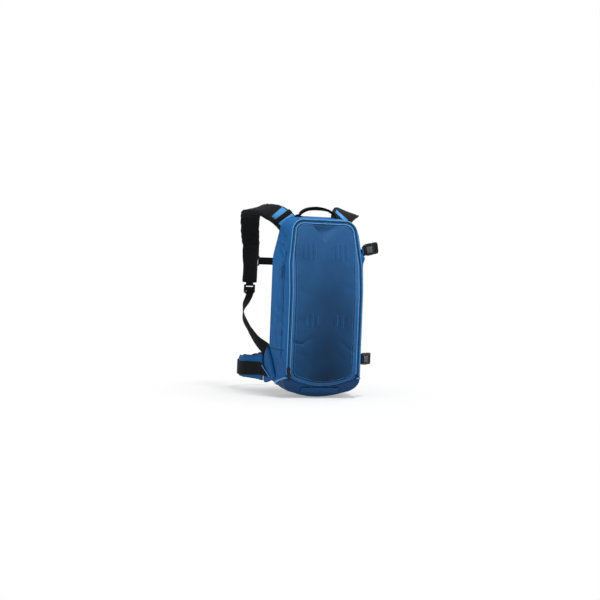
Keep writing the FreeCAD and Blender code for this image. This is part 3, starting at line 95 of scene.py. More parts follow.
# %% [markdown]
# ## Materials
# A shader tree is a list of nodes and links, so one small function adds a node with its
# settings, and links or fills its inputs. Colours are written as sRGB hex, the way a cloth
# supplier gives them, and turned to linear light by one function.


# %% Colour and node helpers
def linear(hex_colour):
    """An sRGB hex colour as linear RGBA."""
    channels = [int(hex_colour[i:i + 2], 16) / 255 for i in (1, 3, 5)]
    curve = [c / 12.92 if c <= 0.04045 else ((c + 0.055) / 1.055) ** 2.4 for c in channels]
    return (*curve, 1.0)


def fill(tree, node, inputs):
    """Links sockets to a node's inputs, and sets plain values and hex colours on them."""
    for key, value in inputs.items():
        if isinstance(value, bpy.types.NodeSocket):
            tree.links.new(value, node.inputs[key])
        else:
            node.inputs[key].default_value = linear(value) if str(value).startswith("#") else value


def add(tree, kind, inputs=None, out=0, **settings):
    """Adds a node and gives one of its outputs, or the node itself where out is None."""
    node = tree.nodes.new(kind)
    for key, value in settings.items():
        setattr(node, key, value)
    fill(tree, node, inputs or {})
    return node if out is None else node.outputs[out]


def new_material(name):
    """An empty material with its Principled shader, linked to the output."""
    material = bpy.data.materials.new(name)
    material.use_nodes = True
    tree = material.node_tree
    tree.nodes.clear()
    shader = add(tree, "ShaderNodeBsdfPrincipled", out=None)
    add(tree, "ShaderNodeOutputMaterial", {"Surface": shader.outputs["BSDF"]}, None)
    return material, tree, shader


print("white is", linear("#ffffff"))

# %% [markdown]
# ### Cloth
# The bag is sewn from three cloths. The front is polyester with a smooth polyurethane coating:
# threads barely show and the light spreads into a broad soft sheen. The gussets are plain
# woven polyester. The chin is the coated cloth in a darker dye. A weave is two sine waves at
# right angles: real threads are about 0.4 mm apart, drawn here at 3 mm so that they show.


# %% Weave pattern and the coated and woven cloths
WAVE_LENGTH = 0.314  # a wave texture at a scale of 1 repeats after this length


def weave(tree, coordinate, pitch_mm):
    """A plain weave as a height: warp and weft waves that pass over each other."""
    scale = WAVE_LENGTH / (pitch_mm * MM)
    waves = {"Vector": coordinate, "Scale": scale, "Distortion": 0.3, "Detail": 1.0}
    warp, weft = (add(tree, "ShaderNodeTexWave", waves, "Fac", bands_direction=way) for way in ("X", "Z"))
    return add(tree, "ShaderNodeMath", {0: warp, 1: weft}, operation="MULTIPLY")


def cloth(name, top, low, roughness, pitch=3.14, weave_height=0.12, sheen=0.01, deep=1.0):
    """Polyester painted lighter with height, as lit from above, and darker low in its middle, as shade."""
    material, tree, shader = new_material(name)
    coordinate = add(tree, "ShaderNodeTexCoord", out="Object")
    place = add(tree, "ShaderNodeSeparateXYZ", {0: coordinate}, None).outputs
    # painted light: the colour runs from the low to the top colour with height, as light from above
    fade = add(tree, "ShaderNodeMapRange", {0: place["Z"], 1: -0.08, 2: 0.39, 3: 0.0, 4: 1.0})
    painted_height_light = add(tree, "ShaderNodeMix", {0: fade, 6: low, 7: top}, 2, data_type="RGBA")
    patches = add(tree, "ShaderNodeTexNoise", {"Vector": coordinate, "Scale": 14.0, "Detail": 3.0}, "Fac")
    shade = add(tree, "ShaderNodeMapRange", {0: patches, 1: 0.35, 2: 0.65, 3: 0.88, 4: 1.08})
    # painted shade: where deep is below 1, the lower middle of the cloth is darkened
    if deep < 1:
        sideways = add(tree, "ShaderNodeMath", {0: place["X"], 1: 0.012}, operation="SUBTRACT")
        sideways = add(tree, "ShaderNodeMath", {0: sideways}, operation="ABSOLUTE")
        near_middle = {0: sideways, 1: 0.0, 2: 0.08}
        aside = add(tree, "ShaderNodeMapRange", near_middle, interpolation_type="SMOOTHSTEP")
        least = add(tree, "ShaderNodeMapRange", {0: fade, 1: 0.2, 2: 0.95, 3: deep, 4: 0.95})
        painted_middle_shade = add(tree, "ShaderNodeMix", {0: aside, 2: least, 3: 1.0}, data_type="FLOAT")
        shade = add(tree, "ShaderNodeMath", {0: shade, 1: painted_middle_shade}, operation="MULTIPLY")
    grey = add(tree, "ShaderNodeCombineXYZ", {0: shade, 1: shade, 2: shade})
    toned = add(tree, "ShaderNodeVectorMath", {0: painted_height_light, 1: grey}, operation="MULTIPLY")
    threads = weave(tree, coordinate, pitch)
    # painted highlight: the crowns of the threads are lifted towards white
    glint = add(tree, "ShaderNodeMapRange", {0: threads, 1: 0.0, 2: 1.0, 3: 0.0, 4: 0.14})
    lit = {0: glint, 6: toned, 7: "#ffffff"}
    wear_and_painted_light = add(tree, "ShaderNodeMix", lit, 2, data_type="RGBA", blend_type="SOFT_LIGHT")
    grain = add(tree, "ShaderNodeTexNoise", {"Vector": coordinate, "Scale": 900.0, "Detail": 2.0}, "Fac")
    rough = {0: grain, 1: 0.3, 2: 0.7, 3: roughness - 0.05, 4: roughness + 0.07}
    bump = add(tree, "ShaderNodeBump", {"Height": threads, "Strength": weave_height, "Distance": 0.0004})
    soft = {"Height": patches, "Strength": 0.25, "Distance": 0.002, "Normal": bump}
    fill(tree, shader, {
        "Base Color": wear_and_painted_light, "Roughness": add(tree, "ShaderNodeMapRange", rough),
        "Normal": add(tree, "ShaderNodeBump", soft), "Sheen Weight": sheen,
        "Sheen Roughness": 0.45, "Specular IOR Level": 0.12,
    })
    return material


# each cloth's low and top colours carry painted shade below and painted light above; deep=0.5 paints shade
# into the front's lower middle
front_cloth = cloth("coated polyester, dark blue", "#2f6195", "#0f3a60", 0.5, weave_height=0.06, deep=0.5)
band_cloth = cloth("woven polyester band, blue", "#3a71a9", "#24568a", 0.6)
gusset_cloth = cloth("woven polyester, blue", "#1768aa", "#125490", 0.62)
chin_cloth = cloth("coated polyester, navy", "#174370", "#153f6a", 0.52, weave_height=0.06)
piping_cloth = cloth("piping cord, light blue", "#6fb0e6", "#5c9fda", 0.5, pitch=2.5, sheen=0.02)
patch_cloth = cloth("strap overlay, bright blue", "#4f98d8", "#4f98d8", 0.55)
lining_cloth = cloth("lining, grey", "#4d5258", "#474c52", 0.7, sheen=0.03)
back_cloth = cloth("back cloth, black", "#101114", "#101114", 0.75, pitch=4.4, weave_height=0.4)
print("cloths:", [m.name for m in (front_cloth, band_cloth, gusset_cloth, chin_cloth, lining_cloth)])

# %% [markdown]
# ### Air mesh and webbing
# The air mesh is a knitted spacer with round holes about 3 mm apart: a Voronoi cell pattern
# gives the holes. Webbing is woven with ribs across it, so its pattern reads the piece's own
# UV map, in millimetres.


# %% Air mesh and webbing
def air_mesh(name, colour, deep):
    """Knitted spacer mesh: pale rims round dark holes."""
    material, tree, shader = new_material(name)
    coordinate = add(tree, "ShaderNodeTexCoord", out="Object")
    cells = {"Vector": coordinate, "Scale": 330.0, "Randomness": 0.12}  # cells to the metre
    to_middle = add(tree, "ShaderNodeTexVoronoi", cells, "Distance")
    hole = add(tree, "ShaderNodeMapRange", {0: to_middle, 1: 0.25, 2: 0.5, 3: 0.0, 4: 1.0})
    knit = add(tree, "ShaderNodeTexNoise", {"Vector": coordinate, "Scale": 1500.0}, "Fac")
    fuzz = add(tree, "ShaderNodeMapRange", {0: knit, 1: 0.3, 2: 0.7, 3: 0.0, 4: 0.25})
    holed = add(tree, "ShaderNodeMix", {0: hole, 6: deep, 7: colour}, 2, data_type="RGBA")
    fill(tree, shader, {
        "Base Color": add(tree, "ShaderNodeMix", {0: fuzz, 6: holed, 7: "#26272a"}, 2, data_type="RGBA"),
        "Normal": add(tree, "ShaderNodeBump", {"Height": hole, "Strength": 0.6, "Distance": 0.0008}),
        "Roughness": 0.85, "Sheen Weight": 0.02, "Specular IOR Level": 0.12,
    })
    return material


def ribbed(name, colour, rib, rib_mm):
    """Webbing or tape: ribs across the band, along its UV, with a fine twill inside each."""
    material, tree, shader = new_material(name)
    uv = add(tree, "ShaderNodeUVMap", uv_map="band")
    rib_waves = {"Vector": uv, "Scale": 1 / rib_mm / 3.1416, "Distortion": 0.4}
    ribs = add(tree, "ShaderNodeTexWave", rib_waves, "Fac", bands_direction="Y")
    twill = {"Vector": uv, "Scale": 0.32, "Distortion": 1.0, "Detail": 2.0}
    threads = add(tree, "ShaderNodeTexWave", twill, "Fac", bands_direction="X")
    height = add(tree, "ShaderNodeMath", {0: ribs, 1: threads}, operation="ADD")
    raised = add(tree, "ShaderNodeMapRange", {0: height, 1: 0.2, 2: 1.8, 3: 0.0, 4: 1.0})
    fill(tree, shader, {
        "Base Color": add(tree, "ShaderNodeMix", {0: raised, 6: colour, 7: rib}, 2, data_type="RGBA"),
        "Normal": add(tree, "ShaderNodeBump", {"Height": height, "Strength": 0.5, "Distance": 0.0004}),
        "Roughness": 0.7, "Specular IOR Level": 0.1,
    })
    return material


mesh_cloth = air_mesh("spacer mesh, black", "#101217", "#030405")
webbing = ribbed("polyester webbing, black", "#040507", "#0c0e12", 1.6)
binding = ribbed("grosgrain binding, black", "#060709", "#14161b", 1.2)
tape = ribbed("zip tape, blue", "#275f97", "#3a79b4", 1.0)
loop_webbing = ribbed("light loop webbing, blue", "#1a4570", "#225182", 1.4)
tab_webbing = ribbed("tab webbing, blue", "#1d5488", "#2a6aa3", 1.4)
print("woven finishes:", [m.name for m in (mesh_cloth, webbing, binding, tape, loop_webbing, tab_webbing)])

# %% [markdown]
# ### Plastic, metal, rubber, thread and film
# Moulded plastic has a fine spark-eroded grain that only shows in its gloss. The same finish
# with other values serves painted zinc, rubber, nylon and thread, which are even too. The
# reservoir's film lets light through.


# %% Moulded finishes and film
def moulded(name, colour, roughness, grain=0.15, scale=1400.0, wear_and_painted_light="#2d2e31"):
    """A hard piece with a fine even grain and slight wear in its colour and roughness."""
    material, tree, shader = new_material(name)
    coordinate = add(tree, "ShaderNodeTexCoord", out="Object")
    pits = add(tree, "ShaderNodeTexNoise", {"Vector": coordinate, "Scale": scale, "Detail": 2.0}, "Fac")
    wear = add(tree, "ShaderNodeTexNoise", {"Vector": coordinate, "Scale": 60.0, "Detail": 4.0}, "Fac")
    shade = add(tree, "ShaderNodeMapRange", {0: wear, 1: 0.4, 2: 0.7, 3: 0.0, 4: 0.22})
    rough = {0: wear, 1: 0.3, 2: 0.7, 3: roughness - 0.06, 4: roughness + 0.08}
    fill(tree, shader, {
        "Base Color": add(tree, "ShaderNodeMix", {0: shade, 6: colour, 7: wear_and_painted_light}, 2, data_type="RGBA"),
        "Roughness": add(tree, "ShaderNodeMapRange", rough),
        "Normal": add(tree, "ShaderNodeBump", {"Height": pits, "Strength": grain, "Distance": 0.0003}),
        "Specular IOR Level": 0.25,
    })
    return material


def film(name):
    """Thermoplastic film with water behind it: clear blue, slightly hazy."""
    material, tree, shader = new_material(name)
    coordinate = add(tree, "ShaderNodeTexCoord", out="Object")
    haze = add(tree, "ShaderNodeTexNoise", {"Vector": coordinate, "Scale": 35.0, "Detail": 3.0}, "Fac")
    cloudy = add(tree, "ShaderNodeMapRange", {0: haze, 1: 0.35, 2: 0.65, 3: 0.0, 4: 1.0})
    blues = {0: cloudy, 6: "#8fc1e6", 7: "#a9d3f0"}
    fill(tree, shader, {
        "Base Color": add(tree, "ShaderNodeMix", blues, 2, data_type="RGBA"),
        "Normal": add(tree, "ShaderNodeBump", {"Height": haze, "Strength": 0.3, "Distance": 0.003}),
        "Transmission Weight": 0.45, "Roughness": 0.22, "IOR": 1.45,
    })
    return material


buckle_plastic = moulded("acetal, black", "#0e0f11", 0.42)
grip_plastic = moulded("acetal grip, grey", "#5a5e66", 0.5, grain=0.4, scale=600.0, wear_and_painted_light="#71757e")
slider_metal = moulded("painted zinc, black", "#121315", 0.3, grain=0.05)
blue_metal = moulded("painted zinc, blue", "#1b5489", 0.35, grain=0.05, wear_and_painted_light="#2c6aa3")
pull_rubber = moulded("moulded rubber, black", "#0c0c0e", 0.6, grain=0.3, scale=700.0)
blue_rubber = moulded("moulded rubber, blue", "#1a528a", 0.6, grain=0.3, scale=700.0, wear_and_painted_light="#2967a2")
coil_nylon = moulded("nylon coil, blue", "#173f69", 0.4, grain=0.05, wear_and_painted_light="#1d4a78")
frame_plastic = moulded("polyethylene sheet, black", "#202124", 0.5)
cap_plastic = moulded("polypropylene, blue", "#2467a8", 0.35, wear_and_painted_light="#2f74b4")
thread_dark = moulded("thread, navy", "#0d2b4d", 0.6, grain=0.0, wear_and_painted_light="#12335a")
thread_light = moulded("thread, blue", "#5a96d0", 0.6, grain=0.0, wear_and_painted_light="#66a0d8")
reservoir_film = film("reservoir film, clear blue")
print("materials:", len(bpy.data.materials))

# %% [markdown]
# ## Mesh helpers
# Most pieces are a grid of points: rows along, columns around. One function turns such a grid
# into a mesh with a UV map in millimetres, and others close it, give it thickness or sweep a
# section along a smooth path, which is how webbing, cords, straps and wings are made.


# %% Handing a piece over
def finish_piece(obj, *replaced, slot=None, body="pack", blend=None):
    """Puts a piece on its body, or bakes it in place if bent; hides the nodes it stands for. Its slot is not
    used.
    """
    if blend:
        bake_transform(obj)
    else:
        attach(obj, body)
    if replaced:
        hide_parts(*replaced)
    return obj


def body_of(node):
    return nodes[node]["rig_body"]


def cad_corners(node):
    """The low and the high corner of a CAD piece's box, in mm."""
    return [np.array(corner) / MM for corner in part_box(node)]


def linked(name, data):
    """A new object in the scene that carries the data."""
    obj = bpy.data.objects.new(name, data)
    bpy.context.scene.collection.objects.link(obj)
    return obj


print("the reservoir's space, mm:", [corner.round(1).tolist() for corner in cad_corners("reservoir")])


# %% Meshes from grids of points
def new_piece(name, points, faces, materials, uvs=None):
    """A smooth mesh from millimetre points. uvs holds one pair for each point."""
    mesh = bpy.data.meshes.new(name)
    mesh.from_pydata((np.reshape(points, (-1, 3)) * MM).tolist(), [], faces)
    if uvs is not None:
        point_of_corner = np.zeros(len(mesh.loops), dtype=np.int32)
        mesh.loops.foreach_get("vertex_index", point_of_corner)
        pairs = np.reshape(uvs, (-1, 2)).astype(np.float32)[point_of_corner]
        mesh.uv_layers.new(name="band").data.foreach_set("uv", pairs.ravel())
    for material in materials if isinstance(materials, list) else [materials]:
        mesh.materials.append(material)
    mesh.polygons.foreach_set("use_smooth", [True] * len(mesh.polygons))
    mesh.update()
    return linked(name, mesh)


def grid_faces(rows, columns, closed=False):
    """Quads between neighbouring rows and columns. A closed grid joins its last column to its first."""
    faces = []
    for i in range(rows - 1):
        for j in range(columns if closed else columns - 1):
            k = (j + 1) % columns
            faces.append((i * columns + j, i * columns + k, (i + 1) * columns + k, (i + 1) * columns + j))
    return faces


def cleaned(obj, distance=0.001):
    """Merges points that coincide, within a distance in mm, and turns all faces outwards."""
    work = bmesh.new()
    work.from_mesh(obj.data)
    bmesh.ops.remove_doubles(work, verts=work.verts, dist=distance * MM)
    bmesh.ops.recalc_face_normals(work, faces=work.faces)
    work.to_mesh(obj.data)
    work.free()
    return obj


def ring_piece(name, rings, materials, uvs=None):
    """A closed body from a grid of closed rings, with a cap on each end."""
    rows, columns = rings.shape[:2]
    caps = [tuple(range(columns)), tuple(reversed(range((rows - 1) * columns, rows * columns)))]
    return cleaned(new_piece(name, rings, grid_faces(rows, columns, closed=True) + caps, materials, uvs))


print("a grid of 3 by 4 points has", len(grid_faces(3, 4)), "faces")


# %% Modifiers and thickness
def baked(obj):
    """Replaces an object's mesh with its evaluated one and removes its modifiers."""
    graph = bpy.context.evaluated_depsgraph_get()
    mesh = bpy.data.meshes.new_from_object(obj.evaluated_get(graph))
    obj.modifiers.clear()
    obj.data = mesh
    mesh.polygons.foreach_set("use_smooth", [True] * len(mesh.polygons))
    return obj


def with_modifier(obj, kind, **settings):
    """Adds a modifier, named by its kind in small letters."""
    modifier = obj.modifiers.new(kind.lower(), kind)
    for key, value in settings.items():
        setattr(modifier, key, value)
    return obj


def facing_out(obj, centre):
    """Turns an open sheet so that most of its faces look away from a point."""
    centre = Vector(centre) * MM
    lean = sum((p.center - centre).dot(p.normal) * p.area for p in obj.data.polygons)
    if lean < 0:
        obj.data.flip_normals()
    return obj


def walled(obj, thickness, lining=0, group=""):
    """Gives a sheet its thickness inwards. Its inside takes the material that many slots further on."""
    with_modifier(
        obj, "SOLIDIFY", thickness=thickness * MM, offset=-1.0, material_offset=lining, vertex_group=group,
    )
    return baked(obj)


BAG_MIDDLE = (0, -62, 160)


def sheet_piece(name, grid, material, thickness, uvs=None, centre=BAG_MIDDLE):
    """A sheet of cloth from a grid of points, with its thickness towards the centre."""
    piece = new_piece(name, grid, grid_faces(*grid.shape[:2]), material, uvs)
    return walled(facing_out(piece, centre), thickness)


print("cloth gets its thickness towards", BAG_MIDDLE)


# %% Smooth paths
def unit(v):
    return v / np.maximum(np.linalg.norm(v, axis=-1, keepdims=True), 1e-9)


def run_length(points):
    """The distance along a line at each of its points."""
    return np.concatenate([[0], np.cumsum(np.linalg.norm(np.diff(points, axis=0), axis=1))])


def smooth_path(points, count):
    """A smooth curve through points, as evenly spaced samples. Extra columns ride along."""
    points = np.asarray(points, dtype=float)
    extended = np.vstack([2 * points[0] - points[1], points, 2 * points[-1] - points[-2]])
    curve = []
    for p0, p1, p2, p3 in zip(extended, extended[1:], extended[2:], extended[3:]):
        for u in np.linspace(0, 1, 24, endpoint=False):
            a = 2 * p1 + (p2 - p0) * u + (2 * p0 - 5 * p1 + 4 * p2 - p3) * u ** 2
            curve.append(0.5 * (a + (3 * p1 - p0 - 3 * p2 + p3) * u ** 3))
    curve = np.array(curve + [points[-1]])
    along = run_length(curve[:, :3])
    even = np.linspace(0, along[-1], count)
    return np.stack([np.interp(even, along, column) for column in curve.T], axis=1)


def sweep(stations, count):
    """Centres, across and normal vectors and widths along stations (x, y, z, ax, ay, az, width)."""
    path = smooth_path(stations, count)
    centre = path[:, :3]
    ahead = unit(np.gradient(centre, axis=0))
    across = unit(path[:, 3:6] - ahead * np.sum(path[:, 3:6] * ahead, axis=1, keepdims=True))
    return centre, across, unit(np.cross(ahead, across)), path[:, 6]


print("from one corner of a 30 by 40 mm piece to the other:", run_length(np.array([[0, 0], [30, 40]]))[-1])


# %% Pieces swept along a path
def swept_piece(name, stations, section, material, count, thick=1.0):
    """Sweeps a closed section along stations. The section gives pairs: share of half width, height in mm."""
    centre, across, normal, width = sweep(stations, count)
    shares, heights = np.array(section, dtype=float).T[:, None]
    beside = shares * width[:, None] / 2
    rings = centre[:, None] + across[:, None] * beside[..., None]
    rings = rings + normal[:, None] * (heights * np.reshape(thick, (-1, 1)))[..., None]
    uvs = np.stack(np.broadcast_arrays(beside, run_length(centre)[:, None]), axis=-1)
    return ring_piece(name, rings, material, uvs)


def tube(name, path, radius, material, sides=8, closed=False):
    """A round cord along a path of points."""
    path = np.asarray(path, dtype=float)
    ahead = np.roll(path, -1, axis=0) - np.roll(path, 1, axis=0) if closed else np.gradient(path, axis=0)
    ahead = unit(ahead)
    up = np.tile(np.array([0.13, 0.21, 0.97]), (len(path), 1))
    up[np.abs(np.sum(ahead * up, axis=1)) > 0.9] = np.array([0.97, 0.13, 0.21])
    side = unit(np.cross(ahead, up))
    if not closed:
        for i in range(1, len(side)):
            carried = side[i - 1] - ahead[i] * np.dot(side[i - 1], ahead[i])
            side[i] = carried / np.linalg.norm(carried)
    normal = np.cross(side, ahead)
    angles = np.linspace(0, 2 * math.pi, sides, endpoint=False)
    reach = radius * np.stack([np.cos(angles), np.sin(angles)])[:, None, :, None]
    rings = path[:, None] + side[:, None] * reach[0] + normal[:, None] * reach[1]
    uvs = np.stack(np.broadcast_arrays(angles * radius, run_length(path)[:, None]), axis=-1)
    faces = grid_faces(len(path), sides, closed=True)
    last = (len(path) - 1) * sides
    if closed:
        faces += [(last + j, last + (j + 1) % sides, (j + 1) % sides, j) for j in range(sides)]
    else:
        faces += [tuple(reversed(range(sides))), tuple(range(last, last + sides))]
    return cleaned(new_piece(name, rings, faces, material, uvs), 0.0001)


FLAT = [  # the section of webbing
    (-1, -0.55), (-0.94, -0.75), (0, -0.75), (0.94, -0.75), (1, -0.55),
    (1, 0.55), (0.94, 0.75), (0, 0.75), (-0.94, 0.75), (-1, 0.55),
]
print("points in the webbing's section:", len(FLAT))

# %% [markdown]
# ### Stitches and zip teeth with Geometry Nodes
# Stitches and coil turns repeat along a line that lies on a surface. One node tree does them:
# it resamples the line at a pitch, and puts a small rounded bead on each point, turned by the
# line's direction and by the surface's outward direction, which each point of the line
# carries as an attribute.


# %% The run of beads tree
def build_bead_tree():
    """Resamples a line, puts a bead on each point and makes the beads real."""
    tree = bpy.data.node_groups.new("Run of beads", "GeometryNodeTree")
    sizes = (("Pitch", 0.003), ("Length", 0.002), ("Width", 0.0006), ("Height", 0.0004), ("Across", 0.0))
    tree.interface.new_socket("Geometry", in_out="INPUT", socket_type="NodeSocketGeometry")
    for label, default in sizes:
        socket = tree.interface.new_socket(label, in_out="INPUT", socket_type="NodeSocketFloat")
        socket.default_value = default
    tree.interface.new_socket("Material", in_out="INPUT", socket_type="NodeSocketMaterial")
    tree.interface.new_socket("Geometry", in_out="OUTPUT", socket_type="NodeSocketGeometry")
    given = add(tree, "NodeGroupInput", out=None).outputs
    line = add(tree, "GeometryNodeMeshToCurve", {"Mesh": given["Geometry"]})
    even = add(tree, "GeometryNodeResampleCurve", {"Curve": line, "Length": given["Pitch"]}, mode="LENGTH")
    outward = add(tree, "GeometryNodeInputNamedAttribute", {"Name": "outward"}, data_type="FLOAT_VECTOR")
    tangent = add(tree, "GeometryNodeInputTangent")
    turn = {"Vector": tangent, "Axis": outward, "Angle": given["Across"]}
    turned = add(tree, "ShaderNodeVectorRotate", turn, rotation_type="AXIS_ANGLE")
    axes = {"Primary Axis": outward, "Secondary Axis": turned}
    rotation = add(tree, "FunctionNodeAxesToRotation", axes, primary_axis="Z", secondary_axis="X")
    ball = add(tree, "GeometryNodeMeshUVSphere", {"Segments": 8, "Rings": 5, "Radius": 0.5})
    size = add(tree, "ShaderNodeCombineXYZ", {0: given["Length"], 1: given["Width"], 2: given["Height"]})
    placed = {"Points": even, "Instance": ball, "Rotation": rotation, "Scale": size}
    row = add(tree, "GeometryNodeInstanceOnPoints", placed)
    real = add(tree, "GeometryNodeRealizeInstances", {"Geometry": row})
    done = add(tree, "GeometryNodeSetMaterial", {"Geometry": real, "Material": given["Material"]})
    add(tree, "NodeGroupOutput", {"Geometry": done}, None)
    return tree


bead_tree = build_bead_tree()


def beads(name, lines, pitch, size, material, across=0.0):
    """Beads along lines. Each line is (points, outward vectors), in millimetres."""
    edges, count = [], 0
    for points, _ in lines:
        edges += [(i, i + 1) for i in range(count, count + len(points) - 1)]
        count += len(points)
    mesh = bpy.data.meshes.new(name)
    mesh.from_pydata((np.vstack([points for points, _ in lines]) * MM).tolist(), edges, [])
    outward = np.vstack([normals for _, normals in lines]).astype(np.float32)
    mesh.attributes.new("outward", "FLOAT_VECTOR", "POINT").data.foreach_set("vector", outward.ravel())
    obj = linked(name, mesh)
    modifier = obj.modifiers.new("beads", "NODES")
    modifier.node_group = bead_tree
    values = {
        "Pitch": pitch * MM, "Length": size[0] * MM, "Width": size[1] * MM, "Height": size[2] * MM,
        "Across": across, "Material": material,
    }
    for item in bead_tree.interface.items_tree:
        if item.in_out == "INPUT" and item.name in values:
            modifier[item.identifier] = values[item.name]
    baked(obj)
    obj.data.materials.clear()
    obj.data.materials.append(material)
    return obj


print("bead tree:", len(bead_tree.nodes), "nodes")

# %% [markdown]
# ## The bag's form
# A bag like this is sewn inside out and turned, so its walls are drawn tight round the load and
# sag a little between the seams. The form is one grid of rings: from the back edge along the
# walls, round the front edge, over the border to the zip, and on to the middle of the front.
# The outline of each ring is a polygon with round corners, always with as many points, so the
# rings join up and seams can follow them.

# %% Sizes of the form
BACK_Y = -12.0
FORM_DEPTH = 118.0
SIDE_DRAW = 11.0  # how far each side wall draws in over the full depth
TOP_SPREAD = 13.0  # how much wider the top edge is on each side at full depth
RAKE = math.tan(math.radians(8))  # how far an outline drops for each mm of depth
WALL = 2.6  # the cloth with its padding
EDGE_ROUND = 6.0  # how far the rounding of the front edge reaches
BACK = [(-88, 393), (88, 393), (113, 285), (113, -40), (0, -76), (-113, -40), (-113, 285)]
BACK_RADII = [45, 45, 120, 36, 190, 36, 120]
SIDE_EDGES = (1, 2, 5, 6)  # the edges of the outline that belong to the side walls
ZIP_RADII = [28, 28, 110, 17, 180, 17, 110]
ZIP_DEPTH = 106.0  # the zip follows the bag's outline at this depth, inside it by its margins
ZIP_FOOT = -14.0  # the height where the zip ends on each side
ZIP_MARGINS = [4 - 34 * RAKE, 7.5, 7.5, 38, 38, 7.5, 7.5]
FACING = [1.6, 3.2, 11.0, 1.6, 1.6, 8.0, 3.0]  # from the panel's edge to the facing's seam
FACING_RADII = [22, 22, 110, 16, 170, 16, 110]
ARC_STEPS = [26, 26, 20, 30, 24, 30, 20]
RUN_STEPS = [48, 24, 116, 28, 28, 116, 24]
FRONT_PROFILE = [(-62, -97), (-118, -28), (-118, 200), (-84, 400), (-78, 440)]  # y and z
PROFILE_RADII = [0, 40, 250, 200, 0]
print("corners of the back outline:", len(BACK), "points for each ring:", sum(ARC_STEPS) + sum(RUN_STEPS))


# %% Outlines with round corners
def inset(corners, distances):
    """Moves each edge of a clockwise polygon inwards by its own distance."""
    corners = np.array(corners, dtype=float)
    ahead = unit(np.roll(corners, -1, axis=0) - corners)
    inward = np.stack([ahead[:, 1], -ahead[:, 0]], axis=1)
    starts = corners + inward * np.array(distances)[:, None]
    moved = []
    for i in range(len(corners)):
        p, d = starts[i - 1], ahead[i - 1]
        q, e = starts[i], ahead[i]
        share = ((q[0] - p[0]) * e[1] - (q[1] - p[1]) * e[0]) / (d[0] * e[1] - d[1] * e[0])
        moved.append(p + d * share)
    return np.array(moved)


def corner_arc(before, corner, after, radius, steps):
    """Points on the arc that rounds a corner, its end left out, and that end."""
    a, b = unit(before - corner), unit(after - corner)
    opening = math.acos(np.clip(np.dot(a, b), -1, 1))
    centre = corner + unit(a + b) * radius / math.sin(opening / 2)
    reach = radius / math.tan(opening / 2)
    first, last = corner + a * reach - centre, corner + b * reach - centre
    turn = math.pi - opening
    u = np.linspace(0, 1, steps, endpoint=False)[:, None]
    arc = centre + (np.sin((1 - u) * turn) * first + np.sin(u * turn) * last) / math.sin(turn)
    return arc, corner + b * reach


def rounded_loop(corners, radii, arc_steps=ARC_STEPS, run_steps=RUN_STEPS):
    """A closed outline with round corners, with a fixed count of points for each arc and run."""
    arcs = [
        corner_arc(corners[i - 1], corner, corners[(i + 1) % len(corners)], radii[i], arc_steps[i])
        for i, corner in enumerate(corners)
    ]
    points = []
    for (arc, end), (following, _), steps in zip(arcs, arcs[1:] + arcs[:1], run_steps):
        points += [arc, end + (following[0] - end) * np.linspace(0, 1, steps, endpoint=False)[:, None]]
    return np.vstack(points)


def outline_at(depth, margins=(0,) * 7, radii=BACK_RADII):
    """The bag's outline at a depth behind its back plane, after the margins from each edge."""
    share = depth / FORM_DEPTH
    draw = [SIDE_DRAW * share if i in SIDE_EDGES else 0.0 for i in range(7)]
    (left, top), (right, _) = BACK[:2]
    corners = [(left - TOP_SPREAD * share, top), (right + TOP_SPREAD * share, top)] + BACK[2:]
    loop = rounded_loop(inset(corners, [d + m for d, m in zip(draw, margins)]), radii)
    return loop - [0, depth * RAKE]


def at_depth(flat, y):
    """Puts (x, z) points at a depth, or at one depth for each."""
    return np.stack([flat[:, 0], np.zeros(len(flat)) + y, flat[:, 1]], axis=1)


print("length round the back, mm:", round(run_length(outline_at(0))[-1]))


# %% Front profile and zip line
def profile_line():
    """The front's side view as (y, z) points, rising."""
    corners = np.array(FRONT_PROFILE, dtype=float)
    points = [corners[:1]]
    for before, corner, after, radius in zip(corners, corners[1:], corners[2:], PROFILE_RADII[1:]):
        arc, end = corner_arc(before, corner, after, radius, 24)
        points += [arc, end[None]]
    return np.vstack(points + [corners[-1:]])


profile = profile_line()


def front_y(z):
    return np.interp(z, profile[:, 1], profile[:, 0])


def on_front(flat):
    """Puts (x, z) points on the front face."""
    return at_depth(flat, front_y(flat[:, 1]))


def zip_line(offset):
    """The outline of the zip, larger by the offset."""
    return outline_at(ZIP_DEPTH, [m - offset for m in ZIP_MARGINS], [r + offset for r in ZIP_RADII])


print("length of the zip's outline, mm:", round(run_length(zip_line(0))[-1]))

# %% [markdown]
# ### The rings
# The walls run straight from the back outline to the front outline and stop where they meet
# the front face. From there the rings turn round the front edge on a short curve, and then
# each stretch blends from one outline on the front to the next one inside it.

# %% Rings from the back edge to the middle of the front
WALL_ROWS = 48
TAPE_OUT, TAPE_IN = 3.5, -5  # the edges of the zip's tape, from the zip line


